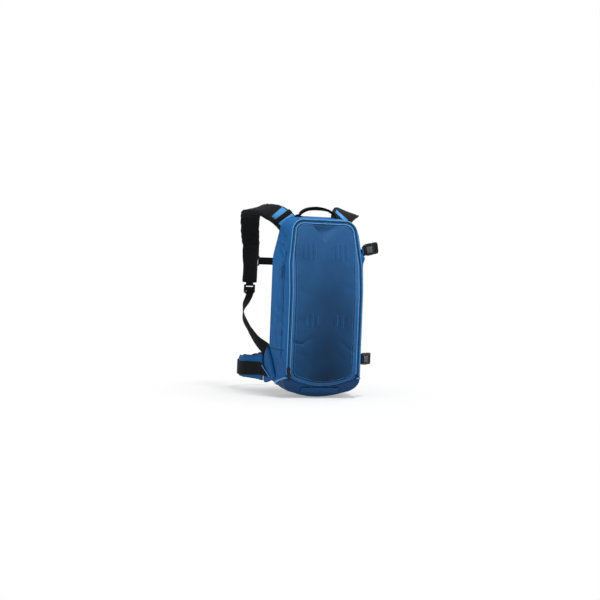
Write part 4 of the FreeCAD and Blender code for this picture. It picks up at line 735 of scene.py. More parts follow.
def bag_rings():
    """All rings from the back edge to the middle of the front, and the index where each stretch starts."""
    rear, front = outline_at(0), outline_at(FORM_DEPTH)
    shares = np.linspace(0, 1, 401)
    flat = rear[None] + (front - rear)[None] * shares[:, None, None]
    beyond = (BACK_Y - FORM_DEPTH * shares)[:, None] < front_y(flat[:, :, 1])
    end = shares[np.argmax(beyond, axis=0)]

    def on_wall(share):
        return at_depth(rear + (front - rear) * share[:, None], BACK_Y - FORM_DEPTH * share)

    brink = end - EDGE_ROUND / FORM_DEPTH
    rings = [on_wall(brink * k / WALL_ROWS) for k in range(WALL_ROWS + 1)]
    marks = {"wall": 0, "round": WALL_ROWS}
    edge = on_wall(end)
    border = zip_line(TAPE_OUT)
    inwards = border - edge[:, [0, 2]]
    room = np.linalg.norm(inwards, axis=1)
    start = edge[:, [0, 2]] + unit(inwards) * np.minimum(EDGE_ROUND, room * 0.6)[:, None]
    begin, finish = on_wall(brink), on_front(start)
    for u in np.linspace(0, 1, 8)[1:]:
        rings.append(begin * (1 - u) ** 2 + edge * 2 * u * (1 - u) + finish * u ** 2)
    inner = zip_line(TAPE_IN)
    band = outline_at(ZIP_DEPTH, [m - TAPE_IN + f for m, f in zip(ZIP_MARGINS, FACING)], FACING_RADII)
    spine = np.stack([band[:, 0] * 0.006, np.clip(band[:, 1], 60, 300)], axis=1)
    stretches = (
        ("border", start, border, np.linspace(0, 1, 6)), ("tape", border, inner, np.linspace(0, 1, 5)),
        ("panel", inner, band, np.linspace(0, 1, 10)), ("middle", band, spine, np.linspace(0, 1, 42) ** 1.25),
    )
    for name, outer, inside, steps in stretches:
        marks[name] = len(rings) - 1
        rings += [on_front(outer + (inside - outer) * u) for u in steps[1:]]
    return np.array(rings), marks


base, marks = bag_rings()
_, WALL_END, BORDER, TAPE, PANEL, MIDDLE = marks.values()
print("rings:", base.shape, marks)

# %% [markdown]
# ### Folds, dents and fullness
# Cloth over a soft load shows where it is pulled: a shallow V under the handle, creases that
# run in from the side seams at the waist, and a gentle fullness in the middle of each panel.
# Each crease is a line with a width and a depth. Nothing moves near the zip or under a fitting.

# %% Where the folds lie
CREASES = [  # x and z of both ends, half width, depth
    ((-90, 296), (-52, 262), 14, 2.4), ((-92, 72), (-58, 66), 5, 5.4), ((-62, 66), (-36, 82), 6, 3.6),
    ((50, 70), (90, 42), 6, 5.0), ((-80, 118), (-50, 128), 10, 1.6), ((56, 128), (86, 112), 10, 1.6),
    ((-78, 40), (-34, 30), 8, 2.0), ((30, 44), (62, 24), 8, 1.8), ((-84, 205), (-50, 190), 9, 1.6),
    ((52, 215), (86, 200), 9, 1.4), ((-60, 20), (-20, 10), 8, 1.4), ((40, 26), (72, 12), 8, 1.4),
]
WALL_CREASES = [  # the same on the side walls, by y and z
    ((-34, 356), (-98, 326), 5, 3.4), ((-28, 322), (-84, 312), 6, 2.4), ((-50, 306), (-98, 272), 5, 3.2),
    ((-62, 258), (-98, 266), 5, 1.8), ((-94, 246), (-101, 200), 4, 1.2), ((-20, 208), (-70, 222), 8, 1.2),
    ((-24, 150), (-76, 128), 9, 1.3), ((-30, 92), (-80, 104), 8, 1.2), ((-66, 66), (-102, 84), 6, 1.0),
    ((-20, 30), (-58, -10), 7, 1.4), ((-70, 20), (-100, -8), 6, 1.2),
]
FIXED = [  # a point and a radius in which the cloth lies still
    ((97, -40, 332), 26), ((117, -104, 308), 24), ((121, -104, 26), 24), ((-106, -82, 258), 26),
    ((-106, -82, 215), 24), ((-108, -82, 170), 24), ((52, -27, 389), 26), ((-52, -27, 389), 26),
    ((108, -40, 0), 34), ((-108, -40, 0), 34), ((110, 0, 0), 40), ((-110, 0, 0), 40),
    ((0, -97, -55), 34), ((40, -97, -55), 30), ((-40, -97, -55), 30), ((111, -22, 296), 20),
    ((116, -22, 14), 20),
]
WAVES = [  # how fast a slow wave runs along x, y and z, and its phase
    (0.031, 0.043, 0.021, 0.4), (0.057, -0.038, 0.033, 1.9),
    (-0.022, 0.071, 0.052, 3.1), (0.09, 0.05, -0.061, 5.0),
]


print("creases:", len(CREASES) + len(WALL_CREASES))


# %% Shapes of folds
def crease(x, z, start, end, width, depth):
    """A groove along a line, with a low ridge on each side."""
    (start_x, start_z), along_x, along_z = start, end[0] - start[0], end[1] - start[1]
    share = ((x - start_x) * along_x + (z - start_z) * along_z) / (along_x ** 2 + along_z ** 2)
    near = np.clip(share, 0, 1)
    away = np.hypot(x - start_x - near * along_x, z - start_z - near * along_z) / width
    fade = np.clip(1 - np.abs(share - 0.5) * 0.9, 0.2, 1)
    return -depth * fade * (1.35 * np.exp(-away ** 2) - 0.35 * np.exp(-(away / 2.2) ** 2))


def ripple(x, y, z):
    """Slow irregular waves, the same on each run."""
    return sum(np.sin(a * x + b * y + c * z + phase) for a, b, c, phase in WAVES) / len(WAVES)


def stillness(points):
    """0 under a fitting and 1 away from all of them."""
    free = np.ones(points.shape[:-1])
    for centre, radius in FIXED:
        free *= 1 - np.exp(-(np.linalg.norm(points - centre, axis=-1) / radius) ** 4)
    return free


def ramp(distance, width):
    """0 on one side of a line and 1 on the other, over about a width."""
    return 0.5 + 0.5 * np.tanh(distance / width)


def top_dent(x, z):
    """The V under the handle: cloth drawn in between a steep left arm and a soft right one."""
    left = ((x + 48) * 52 - (390 - z) * 38) / math.hypot(52, 38)
    right = ((46 - x) * 52 - (390 - z) * 44) / math.hypot(52, 44)
    return -8.5 * ramp(left, 3.2) * ramp(right, 8.0) * ramp(381 - z, 4.0)


def hump(away, width):
    """1 on a line and falling to 0 over about a width from it."""
    return np.exp(-(away / width) ** 2)


def arch(share):
    """1 in the middle and 0 at -1 and 1 and beyond."""
    return np.cos(np.clip(share, -1, 1) * math.pi / 2)


def pucker(along, phase):
    """The small uneven waves that a tight seam draws into the cloth beside it."""
    return np.sin(along / 4.3 + 1.9 * np.sin(along / 29 + phase)) + 0.5 * np.sin(along / 2.4 + phase)


print("the V in its middle, mm:", round(float(top_dent(0, 340)), 1))

# %% The finished surface
UPRIGHT_Y, LEVEL_Z = -89.0, 46.0  # the seams on each side wall
BULGE_Z, BULGE_Y = 288, -100  # fullness in front of the upper compression buckle


def outward_of(grid):
    """Outward unit vectors of the rings. On the front they come from the profile's slope."""
    around = np.roll(grid, -1, axis=1) - np.roll(grid, 1, axis=1)
    vectors = unit(np.cross(around, np.gradient(grid, axis=0)))
    if vectors[MIDDLE + 5, :, 1].mean() > 0:
        vectors = -vectors
    steepness = np.gradient(profile[:, 0], profile[:, 1])
    lean = np.interp(grid[PANEL:, :, 2], profile[:, 1], steepness)
    vectors[PANEL:] = unit(np.stack([0 * lean, -1 + 0 * lean, lean], axis=-1))
    return vectors


def from_ring(at):
    """How far each point lies from the ring of that number, along its column."""
    return np.linalg.norm(base - base[at], axis=2)


outward = outward_of(base)
x, y, z = base[..., 0], base[..., 1], base[..., 2]
row = np.arange(len(base))[:, None]

full = 3.4 * arch(x / 100) * arch((z - 165) / 240)
creased = sum(crease(x, z, *c) for c in CREASES) + top_dent(x, z)
seam_gap = from_ring(MIDDLE)
on_panel = row >= PANEL
push = on_panel * (1 - hump(from_ring(PANEL), 9.0)) * (full + creased + 0.9 * ripple(x, y, z))
push += on_panel * (0.35 * pucker(x + z, 0.3) * hump(seam_gap - 4, 5.0) - 1.9 * hump(seam_gap, 1.5))
push += (row > MIDDLE) * 0.8 * hump(seam_gap - 3.6, 1.6)

edge_gap = from_ring(WALL_END)
on_walls = row < WALL_END
on_sides = on_walls * (np.abs(x) > 88)
loose = np.sin(np.clip(row / WALL_END, 0, 1) * math.pi)
wall_creased = sum(crease(y, z, *c) for c in WALL_CREASES) * np.clip((np.abs(x) - 80) / 15, 0, 1)
push += on_walls * loose * (1.6 + 1.3 * ripple(x * 1.4, y * 1.7, z * 1.2) + wall_creased)
push += on_walls * 0.45 * pucker(z + x, 1.1) * hump(edge_gap, 8.0) * (1 - hump(edge_gap, 2.0))
for amount, deep, along, gap, near in (
    (0.6, 2.0, z, y - UPRIGHT_Y, (z > 28) * (z < 300)), (0.4, 1.5, y, z - LEVEL_Z, y > -104),
):
    drawn = amount * pucker(along, x / 60) * hump(np.abs(gap) - 5, 5.0)
    push += on_sides * near * (drawn - deep * hump(gap, 2.2))
push *= stillness(base)
push += (row < BORDER) * (x > 0) * 7.5 * hump(z - BULGE_Z, 11.0) * hump(y - BULGE_Y, 13.0)
bag = base + outward * push[..., None]
print("pushed in and out, mm:", round(float(push.min()), 1), round(float(push.max()), 1))

# %% [markdown]
# ## The shell: gussets, crown and bottom panel
# The walls are two side gussets that meet a narrow crown gusset at the top and a bottom panel
# along a seam that rises towards the front. Each is cut from the one grid, given its padded
# thickness inwards, and lined, because the front opens and shows the inside.


# %% Shell pieces
UNDER_POINT, UNDER_NORMAL = (0, -138, -17), (0, 39, 146)  # the plane of the bottom panel's seam
PORT_SPOT, PORT_WAY, PORT_RADIUS = (97.3, -39.8, 331.7), (0.9667, -0.124, 0.2238), 11.2


def columns_between(first, last):
    """Column indices from first on to last, round the closed outline."""
    count = bag.shape[1]
    return [(first + i) % count for i in range((last - first) % count + 1)]


def nearest_column(x_at, z_at):
    return int(np.argmin(np.hypot(base[0, :, 0] - x_at, base[0, :, 2] - z_at)))


def bisected(obj, point, normal, keep_above):
    """Cuts a mesh with a plane and keeps one side."""
    work = bmesh.new()
    work.from_mesh(obj.data)
    bmesh.ops.bisect_plane(
        work, geom=work.verts[:] + work.edges[:] + work.faces[:], dist=1e-6,
        plane_co=Vector(point) * MM, plane_no=normal, clear_inner=keep_above, clear_outer=not keep_above,
    )
    work.to_mesh(obj.data)
    work.free()


def bored(piece):
    """Cuts the hose port's hole."""
    bpy.ops.mesh.primitive_cylinder_add(
        radius=PORT_RADIUS * MM, depth=30 * MM, location=Vector(PORT_SPOT) * MM,
    )
    cutter = bpy.context.object
    cutter.rotation_euler = Vector(PORT_WAY).to_track_quat("Z", "Y").to_euler()
    with_modifier(piece, "BOOLEAN", object=cutter, operation="DIFFERENCE", solver="EXACT")
    baked(piece)
    bpy.data.objects.remove(cutter)


crown_right, crown_left = nearest_column(66, 385), nearest_column(-66, 385)
bottom_middle = nearest_column(0, -76)
shell_rows = bag[:TAPE + 1]
SHELL = [
    ("side_gusset_right", columns_between(crown_right, bottom_middle), gusset_cloth, "gusset_cloth"),
    ("side_gusset_left", columns_between(bottom_middle, crown_left), gusset_cloth, "gusset_cloth"),
    ("top_gusset", columns_between(crown_left, crown_right), gusset_cloth, "gusset_cloth"),
    ("bottom_panel", list(range(bag.shape[1])) + [0], chin_cloth, "chin_cloth"),
]
for node, columns, material, slot in SHELL:
    grid = shell_rows[:, columns]
    piece = new_piece(node + "_cloth", grid, grid_faces(*grid.shape[:2]), [material, lining_cloth])
    padding = piece.vertex_groups.new(name="padding")
    for at in range(len(grid)):
        share = np.clip((BORDER - at) / 5, 0.08, 1.0)
        padding.add(list(range(at * len(columns), (at + 1) * len(columns))), share, "REPLACE")
    facing_out(piece, BAG_MIDDLE)
    bisected(piece, UNDER_POINT, UNDER_NORMAL, keep_above=node != "bottom_panel")
    walled(piece, WALL, lining=1, group="padding")
    if node == "side_gusset_right":
        bored(piece)
    finish_piece(piece, node, slot=slot)
    print(piece.name, len(piece.data.polygons))

# %% [markdown]
# ## The front panel and its zip
# The front is one piece of coated cloth. Its lower end is sewn to the bottom panel and the rest
# folds down at a fold between the two bodies; the cloth is baked in place and joins neither.

# %% Front cloth
FOLD = ("pack", "front_panel", (0, -0.118, 0.002), (0, -0.118, 0.0095))


def fold_piece(obj, *replaced, slot):
    """Hands over a piece that lies across the front's fold: it is baked in place, on no body."""
    return finish_piece(obj, *replaced, slot=slot, blend=FOLD)


front_rows = bag[PANEL:].copy()
# below the zip's foot the cloth reaches out to the shell, and is sewn to it
sewn_share = np.interp(front_rows[0, :, 2], [ZIP_FOOT - 8, ZIP_FOOT], [1.0, 0.0])[:, None]
front_rows[0] = front_rows[0] * (1 - sewn_share) + bag[TAPE] * sewn_share
rows, columns = front_rows.shape[:2]
front_faces = grid_faces(rows, columns, closed=True)
top_middle = ARC_STEPS[0] + RUN_STEPS[0] // 2
for i in range(top_middle, top_middle + columns // 2):
    across = (i, i + 1, 2 * top_middle - i - 1, 2 * top_middle - i)
    strip = dict.fromkeys(k % columns for k in across)  # three corners at both ends, where two meet
    front_faces.append(tuple((rows - 1) * columns + k for k in strip))
front = new_piece("front_cloth_panel", front_rows, front_faces, [front_cloth, band_cloth, lining_cloth])
on_facing = [int(i < (MIDDLE - PANEL) * columns) for i in range(len(front_faces))]
front.data.polygons.foreach_set("material_index", on_facing)
walled(facing_out(cleaned(front, 0.01), BAG_MIDDLE), WALL, lining=2)
fold_piece(front, "front_panel", "front_panel_hem", slot="front_cloth")
print("front faces:", len(front.data.polygons))

# %% [markdown]
# ### Zip
# The zip runs up one side, over the top and down the other. Each half is a tape with a row of
# coil turns, and a cord of light blue piping covers its sewn edge. One half stays on the body;
# the other, on the panel's side, is baked in place and joins no body.

# %% Tapes, coils and piping
foot_line = zip_line(0)
above_foot = [i for i in range(len(foot_line)) if foot_line[i, 1] > ZIP_FOOT]
gap_at = next(k for k in range(len(above_foot) - 1) if above_foot[k + 1] - above_foot[k] > 1)
zip_columns = above_foot[gap_at + 1:] + above_foot[:gap_at + 1]


def front_normal(points):
    """Outward unit vectors of the front face."""
    slope = front_y(points[:, 2] + 0.5) - front_y(points[:, 2] - 0.5)
    return unit(np.stack([np.zeros(len(points)), -np.ones(len(points)), slope], axis=1))


def zip_run(offset, depth):
    """Points along the zip between its two feet, at an offset outwards and a depth inwards."""
    points = on_front(zip_line(offset))[zip_columns]
    return points - front_normal(points) * depth


ACROSS = math.pi / 2
HALVES = [  # the tape's lines, the coil's and the piping's, as offsets from the zip line, and its radius
    ("body", finish_piece, (3.6, 2.2, 0.7), 0.5, 4.4, 0.95),
    ("panel", fold_piece, (-0.7, -2.8, -5.2), -0.5, -5.2, 0.9),
]
coil_normals = front_normal(zip_run(0.5, 0.1))
for half, finish, offsets, coil_at, piping_at, piping_radius in HALVES:
    grid = np.stack([zip_run(offset, 0.5) for offset in offsets])
    uvs = np.stack(np.broadcast_arrays(np.array(offsets)[:, None], run_length(grid[0])[None]), axis=-1)
    half_tape = sheet_piece(f"zip_tape_{half}_half", grid, tape, 1.4, uvs)
    finish(half_tape, f"zip_tape_{half}", slot="tape_cloth")
    coil_line = [(zip_run(coil_at, 0.1), coil_normals)]
    coil = beads(f"zip_coil_{half}", coil_line, 1.5, (1.5, 0.8, 1.2), coil_nylon, ACROSS)
    finish(coil, slot="tape_cloth")
    piping = tube(f"piping_{half}", zip_run(piping_at, -0.5), piping_radius, piping_cloth)
    finish(piping, slot="gusset_cloth")
print("zip columns:", len(zip_columns))

# %% [markdown]
# ### Draping lines on the bag
# Seams, stitches and patches lie on the finished surface. A line given as points in front of
# the bag is cast on to it, and comes back with the surface's outward direction at each point.

# %% Casting on to the bag
surface = BVHTree.FromPolygons(bag.reshape(-1, 3).tolist(), grid_faces(*bag.shape[:2], closed=True))
TO_FRONT, TO_RIGHT, TO_LEFT = (0, 1, 0), (-1, 0, 0), (1, 0, 0)


def draped(points, direction, lift):
    """Points cast on to the bag along a direction, raised by lift, with the outward vectors there."""
    direction = Vector(direction).normalized()
    found, normals = [], []
    for point in points:
        place, normal, _, _ = surface.ray_cast(Vector(point) - direction * 300, direction)
        if place is None:
            continue
        if normal.dot(direction) > 0:
            normal = -normal
        found.append(np.array(place + normal * lift))
        normals.append(np.array(normal))
    return np.array(found), np.array(normals)


def straight(start, end, spacing=3.0):
    start, end = np.array(start, dtype=float), np.array(end, dtype=float)
    count = max(int(np.linalg.norm(end - start) / spacing), 2)
    return start + (end - start) * np.linspace(0, 1, count)[:, None]


def even_rows(rows):
    """A grid of rows, all cut to the same count of points."""
    shortest = min(len(row) for row in rows)
    return np.array([row[:shortest] for row in rows])


print("surface ready, deepest point of the front, mm:", round(float(bag[..., 1].min()), 1))

# %% [markdown]
# ### Seams and embossed ribs
# Two rows of thread hold the front's facing band. The lower seam has a double row. Each side
# has a vertical seam and a level one. The front carries four groups of short raised ribs,
# welded on for grip and look.

# %% Front band and lower seam
STITCH_PITCH, STITCH = 3.2, (2.3, 0.7, 0.55)
band_line, band_out = bag[MIDDLE], outward[MIDDLE]
towards = unit(base[MIDDLE + 3] - base[MIDDLE])
band_welt = tube("front_band_welt", band_line + band_out * 0.1, 0.55, thread_dark, sides=6, closed=True)
fold_piece(band_welt, slot="front_cloth")


def beside_seam(away):
    """A closed line on the front, that far inside the facing's seam, with its outward vectors."""
    flat = band_line + towards * away
    spots, normals = draped([(px, -200, pz) for px, _, pz in flat], TO_FRONT, 0.15)
    return np.vstack([spots, spots[:1]]), np.vstack([normals, normals[:1]])


band_rows = [beside_seam(3.4), beside_seam(-2.2)]
fold_piece(beads("front_band_stitches", band_rows, STITCH_PITCH, STITCH, thread_light), slot="front_cloth")

hem_columns = [i for i in range(bag.shape[1]) if bag[TAPE, i, 2] < ZIP_FOOT - 3]
hem_line, hem_out = bag[TAPE][hem_columns], outward[TAPE][hem_columns]
finish_piece(tube("lower_seam_welt", hem_line + hem_out * 0.2, 0.8, front_cloth, sides=6), slot="front_cloth")
upwards = unit(bag[TAPE + 3][hem_columns] - hem_line)
hem_rows = [(hem_line + upwards * gap + hem_out * 0.25, hem_out) for gap in (2.4, 5.2)]
hem_stitches = beads("lower_seam_stitches", hem_rows, STITCH_PITCH, STITCH, thread_light)
finish_piece(hem_stitches, slot="front_cloth")
print("stitches on the front band:", len(band_rows[0][0]), "points in a row")

# %% Seams on the walls
SIDES = ((1, "right"), (-1, "left"))


def seam(name, points, direction, cord):
    """A sewn seam: a thin welt, with a row of stitches beside it."""
    line, normals = draped(points, direction, 0.05)
    side = np.cross(unit(np.gradient(line, axis=0)), normals)
    finish_piece(tube(name + "_welt", line, cord, thread_dark, sides=6), slot="gusset_cloth")
    thread_line = [(line + side * 2.2 + normals * 0.1, normals)]
    stitches = beads(name + "_stitches", thread_line, STITCH_PITCH, STITCH, thread_dark)
    finish_piece(stitches, slot="gusset_cloth")


def on_under_seam(side):
    """Where the rings of one side cross the plane of the bottom panel's seam, with outward vectors."""
    crossings = []
    for at in range(6, TAPE + 1, 2):
        ring = bag[at]
        height = (ring - UNDER_POINT) @ unit(np.array(UNDER_NORMAL, dtype=float))
        following = np.roll(height, -1)
        crossing = np.where((height * following < 0) & (ring[:, 0] * side > 0))[0]
        if len(crossing):
            j = crossing[0]
            part = height[j] / (height[j] - following[j])
            crossings.append((*(ring[j] * (1 - part) + ring[(j + 1) % len(ring)] * part), *outward[at, j]))
    crossings = np.array(crossings)
    return crossings[:, :3], crossings[:, 3:]


for side, label in SIDES:
    direction = TO_RIGHT if side > 0 else TO_LEFT
    upright = straight((side * 150, UPRIGHT_Y, 299), (side * 150, UPRIGHT_Y, 29))
    upright[:, 1] += 0.8 * np.sin(upright[:, 2] / 11) + 0.5 * np.sin(upright[:, 2] / 4.6)
    seam(f"side_upright_{label}", upright, direction, 0.9)
    level = straight((side * 150, -16, LEVEL_Z), (side * 150, -103, LEVEL_Z))
    seam(f"side_level_{label}", level, direction, 0.8)
    trail, facing = on_under_seam(side)
    across = unit(np.cross(unit(np.gradient(trail, axis=0)), facing))
    breadth = np.linspace(6.5, 3.2, len(trail))[:, None]
    stations = np.hstack([trail + facing * 0.9, across, breadth])
    under_tape = swept_piece(f"under_seam_tape_{label}", stations, FLAT, piping_cloth, 60)
    finish_piece(under_tape, slot="gusset_cloth")
    column = crown_right if side > 0 else crown_left
    crown_line = bag[2:TAPE - 1, column] + outward[2:TAPE - 1, column] * 0.1
    finish_piece(tube(f"crown_seam_{label}", crown_line, 0.6, gusset_cloth, sides=6), slot="gusset_cloth")
print("under-seam points:", len(trail))

# %% Embossed ribs
RIB_GROUPS = [(-62, -27, 276, 328), (27, 62, 276, 328), (-58, -20, 106, 144), (24, 66, 106, 144)]
RIBS = 6
for number, (left, right, low, high) in enumerate(RIB_GROUPS):
    for rib in range(RIBS):
        at = left + (right - left) * rib / (RIBS - 1)
        trim = 3.0 * abs(rib - (RIBS - 1) / 2)
        line, _ = draped(straight((at, -150, low + trim), (at, -150, high - trim)), TO_FRONT, 0.15)
        raised = tube(f"rib_{number}_{rib}", line, 0.9, band_cloth if rib % 2 else front_cloth, sides=6)
        finish_piece(raised, slot="front_cloth", body="front_panel")
print("ribs:", len(RIB_GROUPS) * RIBS)

# %% [markdown]
# ## Padded pieces
# Foam and air mesh are sewn into pockets, so they swell between their seams. Each starts a
# little smaller than its space, is remeshed evenly, swells as cloth under pressure with no
# gravity, and is held to a few millimetres of movement. Bindings and channels come after.


# %% Swelling a closed piece
SIM_FRAMES = 20
PRESSURE = 4.0


def vertex_points(obj):
    """The points of a mesh in mm."""
    points = np.empty(len(obj.data.vertices) * 3)
    obj.data.vertices.foreach_get("co", points)
    return points.reshape(-1, 3) / MM


def place_vertices(obj, points):
    obj.data.vertices.foreach_set("co", (points * MM).ravel())
    obj.data.update()


def puffed(obj, voxel, cap):
    """Swells a closed mesh as cloth under pressure, with no point moving more than the cap in mm."""
    baked(with_modifier(obj, "REMESH", mode="VOXEL", voxel_size=voxel * MM))
    start = vertex_points(obj)
    sim = with_modifier(obj, "CLOTH").modifiers["cloth"]
    sim.settings.use_pressure = True
    sim.settings.uniform_pressure_force = PRESSURE
    sim.settings.quality = 4
    sim.settings.effector_weights.gravity = 0
    sim.collision_settings.use_collision = False
    sim.point_cache.frame_end = SIM_FRAMES
    for step in range(1, SIM_FRAMES + 1):
        bpy.context.scene.frame_set(step)
    baked(obj)
    moved = vertex_points(obj) - start
    far = np.linalg.norm(moved, axis=1, keepdims=True)
    place_vertices(obj, start + moved * np.minimum(1, cap / np.maximum(far, 1e-6)))
    bpy.context.scene.frame_set(1)
    return baked(with_modifier(obj, "SUBSURF", levels=1, render_levels=1))


def pad_section(thick, notch):
    """A section with a notch along each side, as pairs of share of the half width and height in mm."""
    rise = np.sin(np.linspace(0, math.pi / 2, 5))
    right = [(1 - notch * (1 - share), thick / 2 * share) for share in rise]
    top = right + [(-a, b) for a, b in reversed(right)]
    return top + [(a, -b) for a, b in reversed(top[1:-1])]


def mirrored_stations(stations, side):
    """The same stations on the other side of the wearer. Across turns too, so that normals stay outward."""
    if side > 0:
        return stations
    return [(-x, y, z, -a, b, c, w) for x, y, z, a, b, c, w in stations]


print("frames of swelling:", SIM_FRAMES)

# %% [markdown]
# ## Back panel, lumbar pad and back pads
# The wearer's side is a foam board in black cloth with three air-mesh pads on it. The two tall
# pads leave a channel down the middle for air. Each pad has sewn channels across it.

# %% The wearer's side
PAD_THICK = 12.0
PAD_RINGS = ((0, 1.2), (0.1, 0.4), (0.5, 0.0), (0.82, 1.2), (1.0, 4.6))  # share of the depth, and inset
PADS = [
    ("lumbar_pad", [(-80, 40), (80, 40), (80, -40), (-80, -40)], 24, (-24, 0, 24)),
    ("back_pad_right", [(25, 330), (84, 330), (84, 60), (25, 60)], 20, (105, 150, 195, 240, 285)),
    ("back_pad_left", [(-84, 330), (-25, 330), (-25, 60), (-84, 60)], 20, (105, 150, 195, 240, 285)),
]
BOARD_LAYERS = ((-17.9, 3.0), (-17.6, 0.8), (-13.4, 0.4), (-12.4, 2.4), (-12.6, 12.0))  # depth, and inset


def flat_pad(name, corners, radius):
    """A pad that lies flat on the back panel: its outline is in X and Z."""
    rings = []
    for depth, away in PAD_RINGS:
        flat = rounded_loop(inset(corners, [away + 1.2] * 4), [max(radius - away, 2)] * 4, [12] * 4, [10] * 4)
        rings.append(at_depth(flat, BACK_Y + 0.6 + (PAD_THICK - 2.4) * depth))
    middle = rings[-1].mean(axis=0)
    inner = [middle + (rings[-1] - middle) * share + [0, 0.5 * (1 - share), 0] for share in (0.6, 0.25)]
    return puffed(ring_piece(name, np.array(rings + inner), mesh_cloth), 4.0, 1.6)


def channelled(obj, levels, depth, width):
    """Presses level channels into the face of a pad, in mm."""
    points = vertex_points(obj)
    low, top = points[:, 1].min(), points[:, 1].max()
    lift = np.clip((points[:, 1] - low) / (top - low), 0, 1)
    for level in levels:
        points[:, 1] -= lift * depth * hump(points[:, 2] - level, width)
    place_vertices(obj, points)


def trimmed_outline(depth, away):
    """The bag's outline at a depth, smaller by a margin all round."""
    return outline_at(depth, (away,) * 7, [max(radius - away, 5) for radius in BACK_RADII])


layers = np.array([at_depth(trimmed_outline(0, away), depth) for depth, away in BOARD_LAYERS])
finish_piece(ring_piece("back_board", layers, back_cloth), "back_panel", slot="back_cloth")
for node, corners, radius, channels in PADS:
    pad = flat_pad(node + "_mesh", corners, radius)
    channelled(pad, channels, 2.4, 3.2)
    finish_piece(pad, node, slot="mesh_cloth")
    print(pad.name, len(pad.data.polygons))
back_edge = at_depth(outline_at(0, (1.4,) * 7), -12.4)
finish_piece(tube("back_binding", back_edge, 1.5, binding, closed=True), slot="webbing")

# %% [markdown]
# ## Shoulder straps
# Each strap is foam between black air mesh, cut to a long S, with a bound edge on both sides.
# At its top it is sewn to the bag under a blue overlay, and a band of webbing crosses it there.
# It ends in a webbing loop that holds the ladder lock.

# %% Straps
STRAP = [  # centre, across and width
    (64, -12, 362, 0.6, 0, -0.8, 58), (86, 24, 391, 0.82, 0, -0.57, 62), (112, 58, 407, 0.94, 0, -0.34, 66),
    (135, 95, 409, 0.97, 0, -0.26, 64), (132, 130, 392, 0.98, 0, -0.2, 60),
    (123, 159, 352, 1, -0.1, -0.1, 58), (116, 171, 325, 1, 0, 0, 55), (113, 176, 300, 1, 0, 0, 52),
    (113, 176, 252, 1, 0, 0, 47), (113, 176, 206, 1, 0, 0, 44),
]
STRAP_SECTION = pad_section(8.64, 0.2)  # it swells to about 12 mm
OVERLAYS = [  # from and to as shares of the length, lift, share of the width, thickness, rows, shift
    ("strap_patch_{}_0", patch_cloth, "gusset_cloth", 0.01, 0.085, 6.3, 0.74, 1.0, 24, -3.0),
    ("strap_patch_{}_1", patch_cloth, "gusset_cloth", 0.125, 0.168, 6.3, 0.66, 1.0, 24, -3.0),
    ("strap_bar_{}", webbing, "webbing", 0.088, 0.122, 6.8, 0.96, 1.6, 24, 0.0),
    ("strap_tail_{}", webbing, "webbing", 0.6, 0.985, 6.2, 0.42, 1.2, 60, 0.0),
]


def bound_edge(name, obj, stations, edge, radius, material, count=140):
    """A cord of binding that follows one edge of a padded strip as it lies after swelling."""
    centre, across, _, width = sweep(stations, count)
    line = centre + across * (edge * 1.1 * width / 2)[:, None]
    skin = BVHTree.FromPolygons([v.co for v in obj.data.vertices], [f.vertices[:] for f in obj.data.polygons])
    close = np.array([skin.find_nearest(Vector(spot * MM))[0] for spot in line]) / MM
    close += unit(centre - close) * radius * 0.4
    close[1:-1] = (close[:-2] + close[1:-1] + close[2:]) / 3
    return tube(name, close, radius, material, sides=10)


def strip_patch(name, material, stations, first, last, height, share, thick, count, shift):
    """A flat overlay on a strip, between two shares of its length, shifted sideways in mm."""
    chosen = smooth_path(stations, 200)[int(first * 199):int(last * 199) + 1]
    centre, across, normal, width = sweep(chosen, count)
    centre = centre + normal * height + across * shift
    half = thick / 2
    section = [(-1, -half), (0, -half), (1, -half), (1, half), (0, half), (-1, half)]
    return swept_piece(name, np.hstack([centre, across, (width * share)[:, None]]), section, material, count)


for side, label in SIDES:
    stations = mirrored_stations(STRAP, side)
    core = swept_piece(f"strap_core_{label}", stations, STRAP_SECTION, mesh_cloth, 110)
    puffed(core, 5.0, 1.8)
    finish_piece(core, f"shoulder_strap_{label}", slot="mesh_cloth")
    for edge, edge_name in ((-1, "in"), (1, "out")):
        bound = bound_edge(f"strap_binding_{label}_{edge_name}", core, stations, edge, 2.8, binding)
        finish_piece(bound, slot="webbing")
    top = -1 if sweep(stations, 8)[2][4][2] < 0 else 1
    for name, material, slot, first, last, lift, *rest in OVERLAYS:
        overlay = strip_patch(name.format(label), material, stations, first, last, top * lift, *rest)
        finish_piece(overlay, slot=slot)
    print(core.name, len(core.data.polygons))

# %% [markdown]
# ## Hip belt
# A wing of foam goes round each hip: blue cloth outside, with a black panel at the root, and a
# bound edge. Its root is sewn round the corner of the bag and ends in a slanting edge with
# light piping. The belt webbing lies on the wing and carries half of the front buckle.

# %% Wings
BELT_Y, BELT_Z = 198.0, -4.0
WAIST = [(0.629, 0.152), (0.697, 0.313), (0.753, 0.48), (0.747, 0.636), (0.692, 0.763), (0.586, 0.874)]
WING_HIGH, WING_LOW, TIP_HIGH, TIP_LOW = 32, -46, 9, -40
WING_SECTION = pad_section(7.0, 0.12)  # it swells to about 10 mm
BAND_LEVELS = [  # middle and width of the belt webbing on the wing, from the root
    (-15.6, 27), (-11.8, 34), (-11.8, 34), (-14, 36), (-17, 36), (-17, 36), (-15, 36), (-12, 36),
]


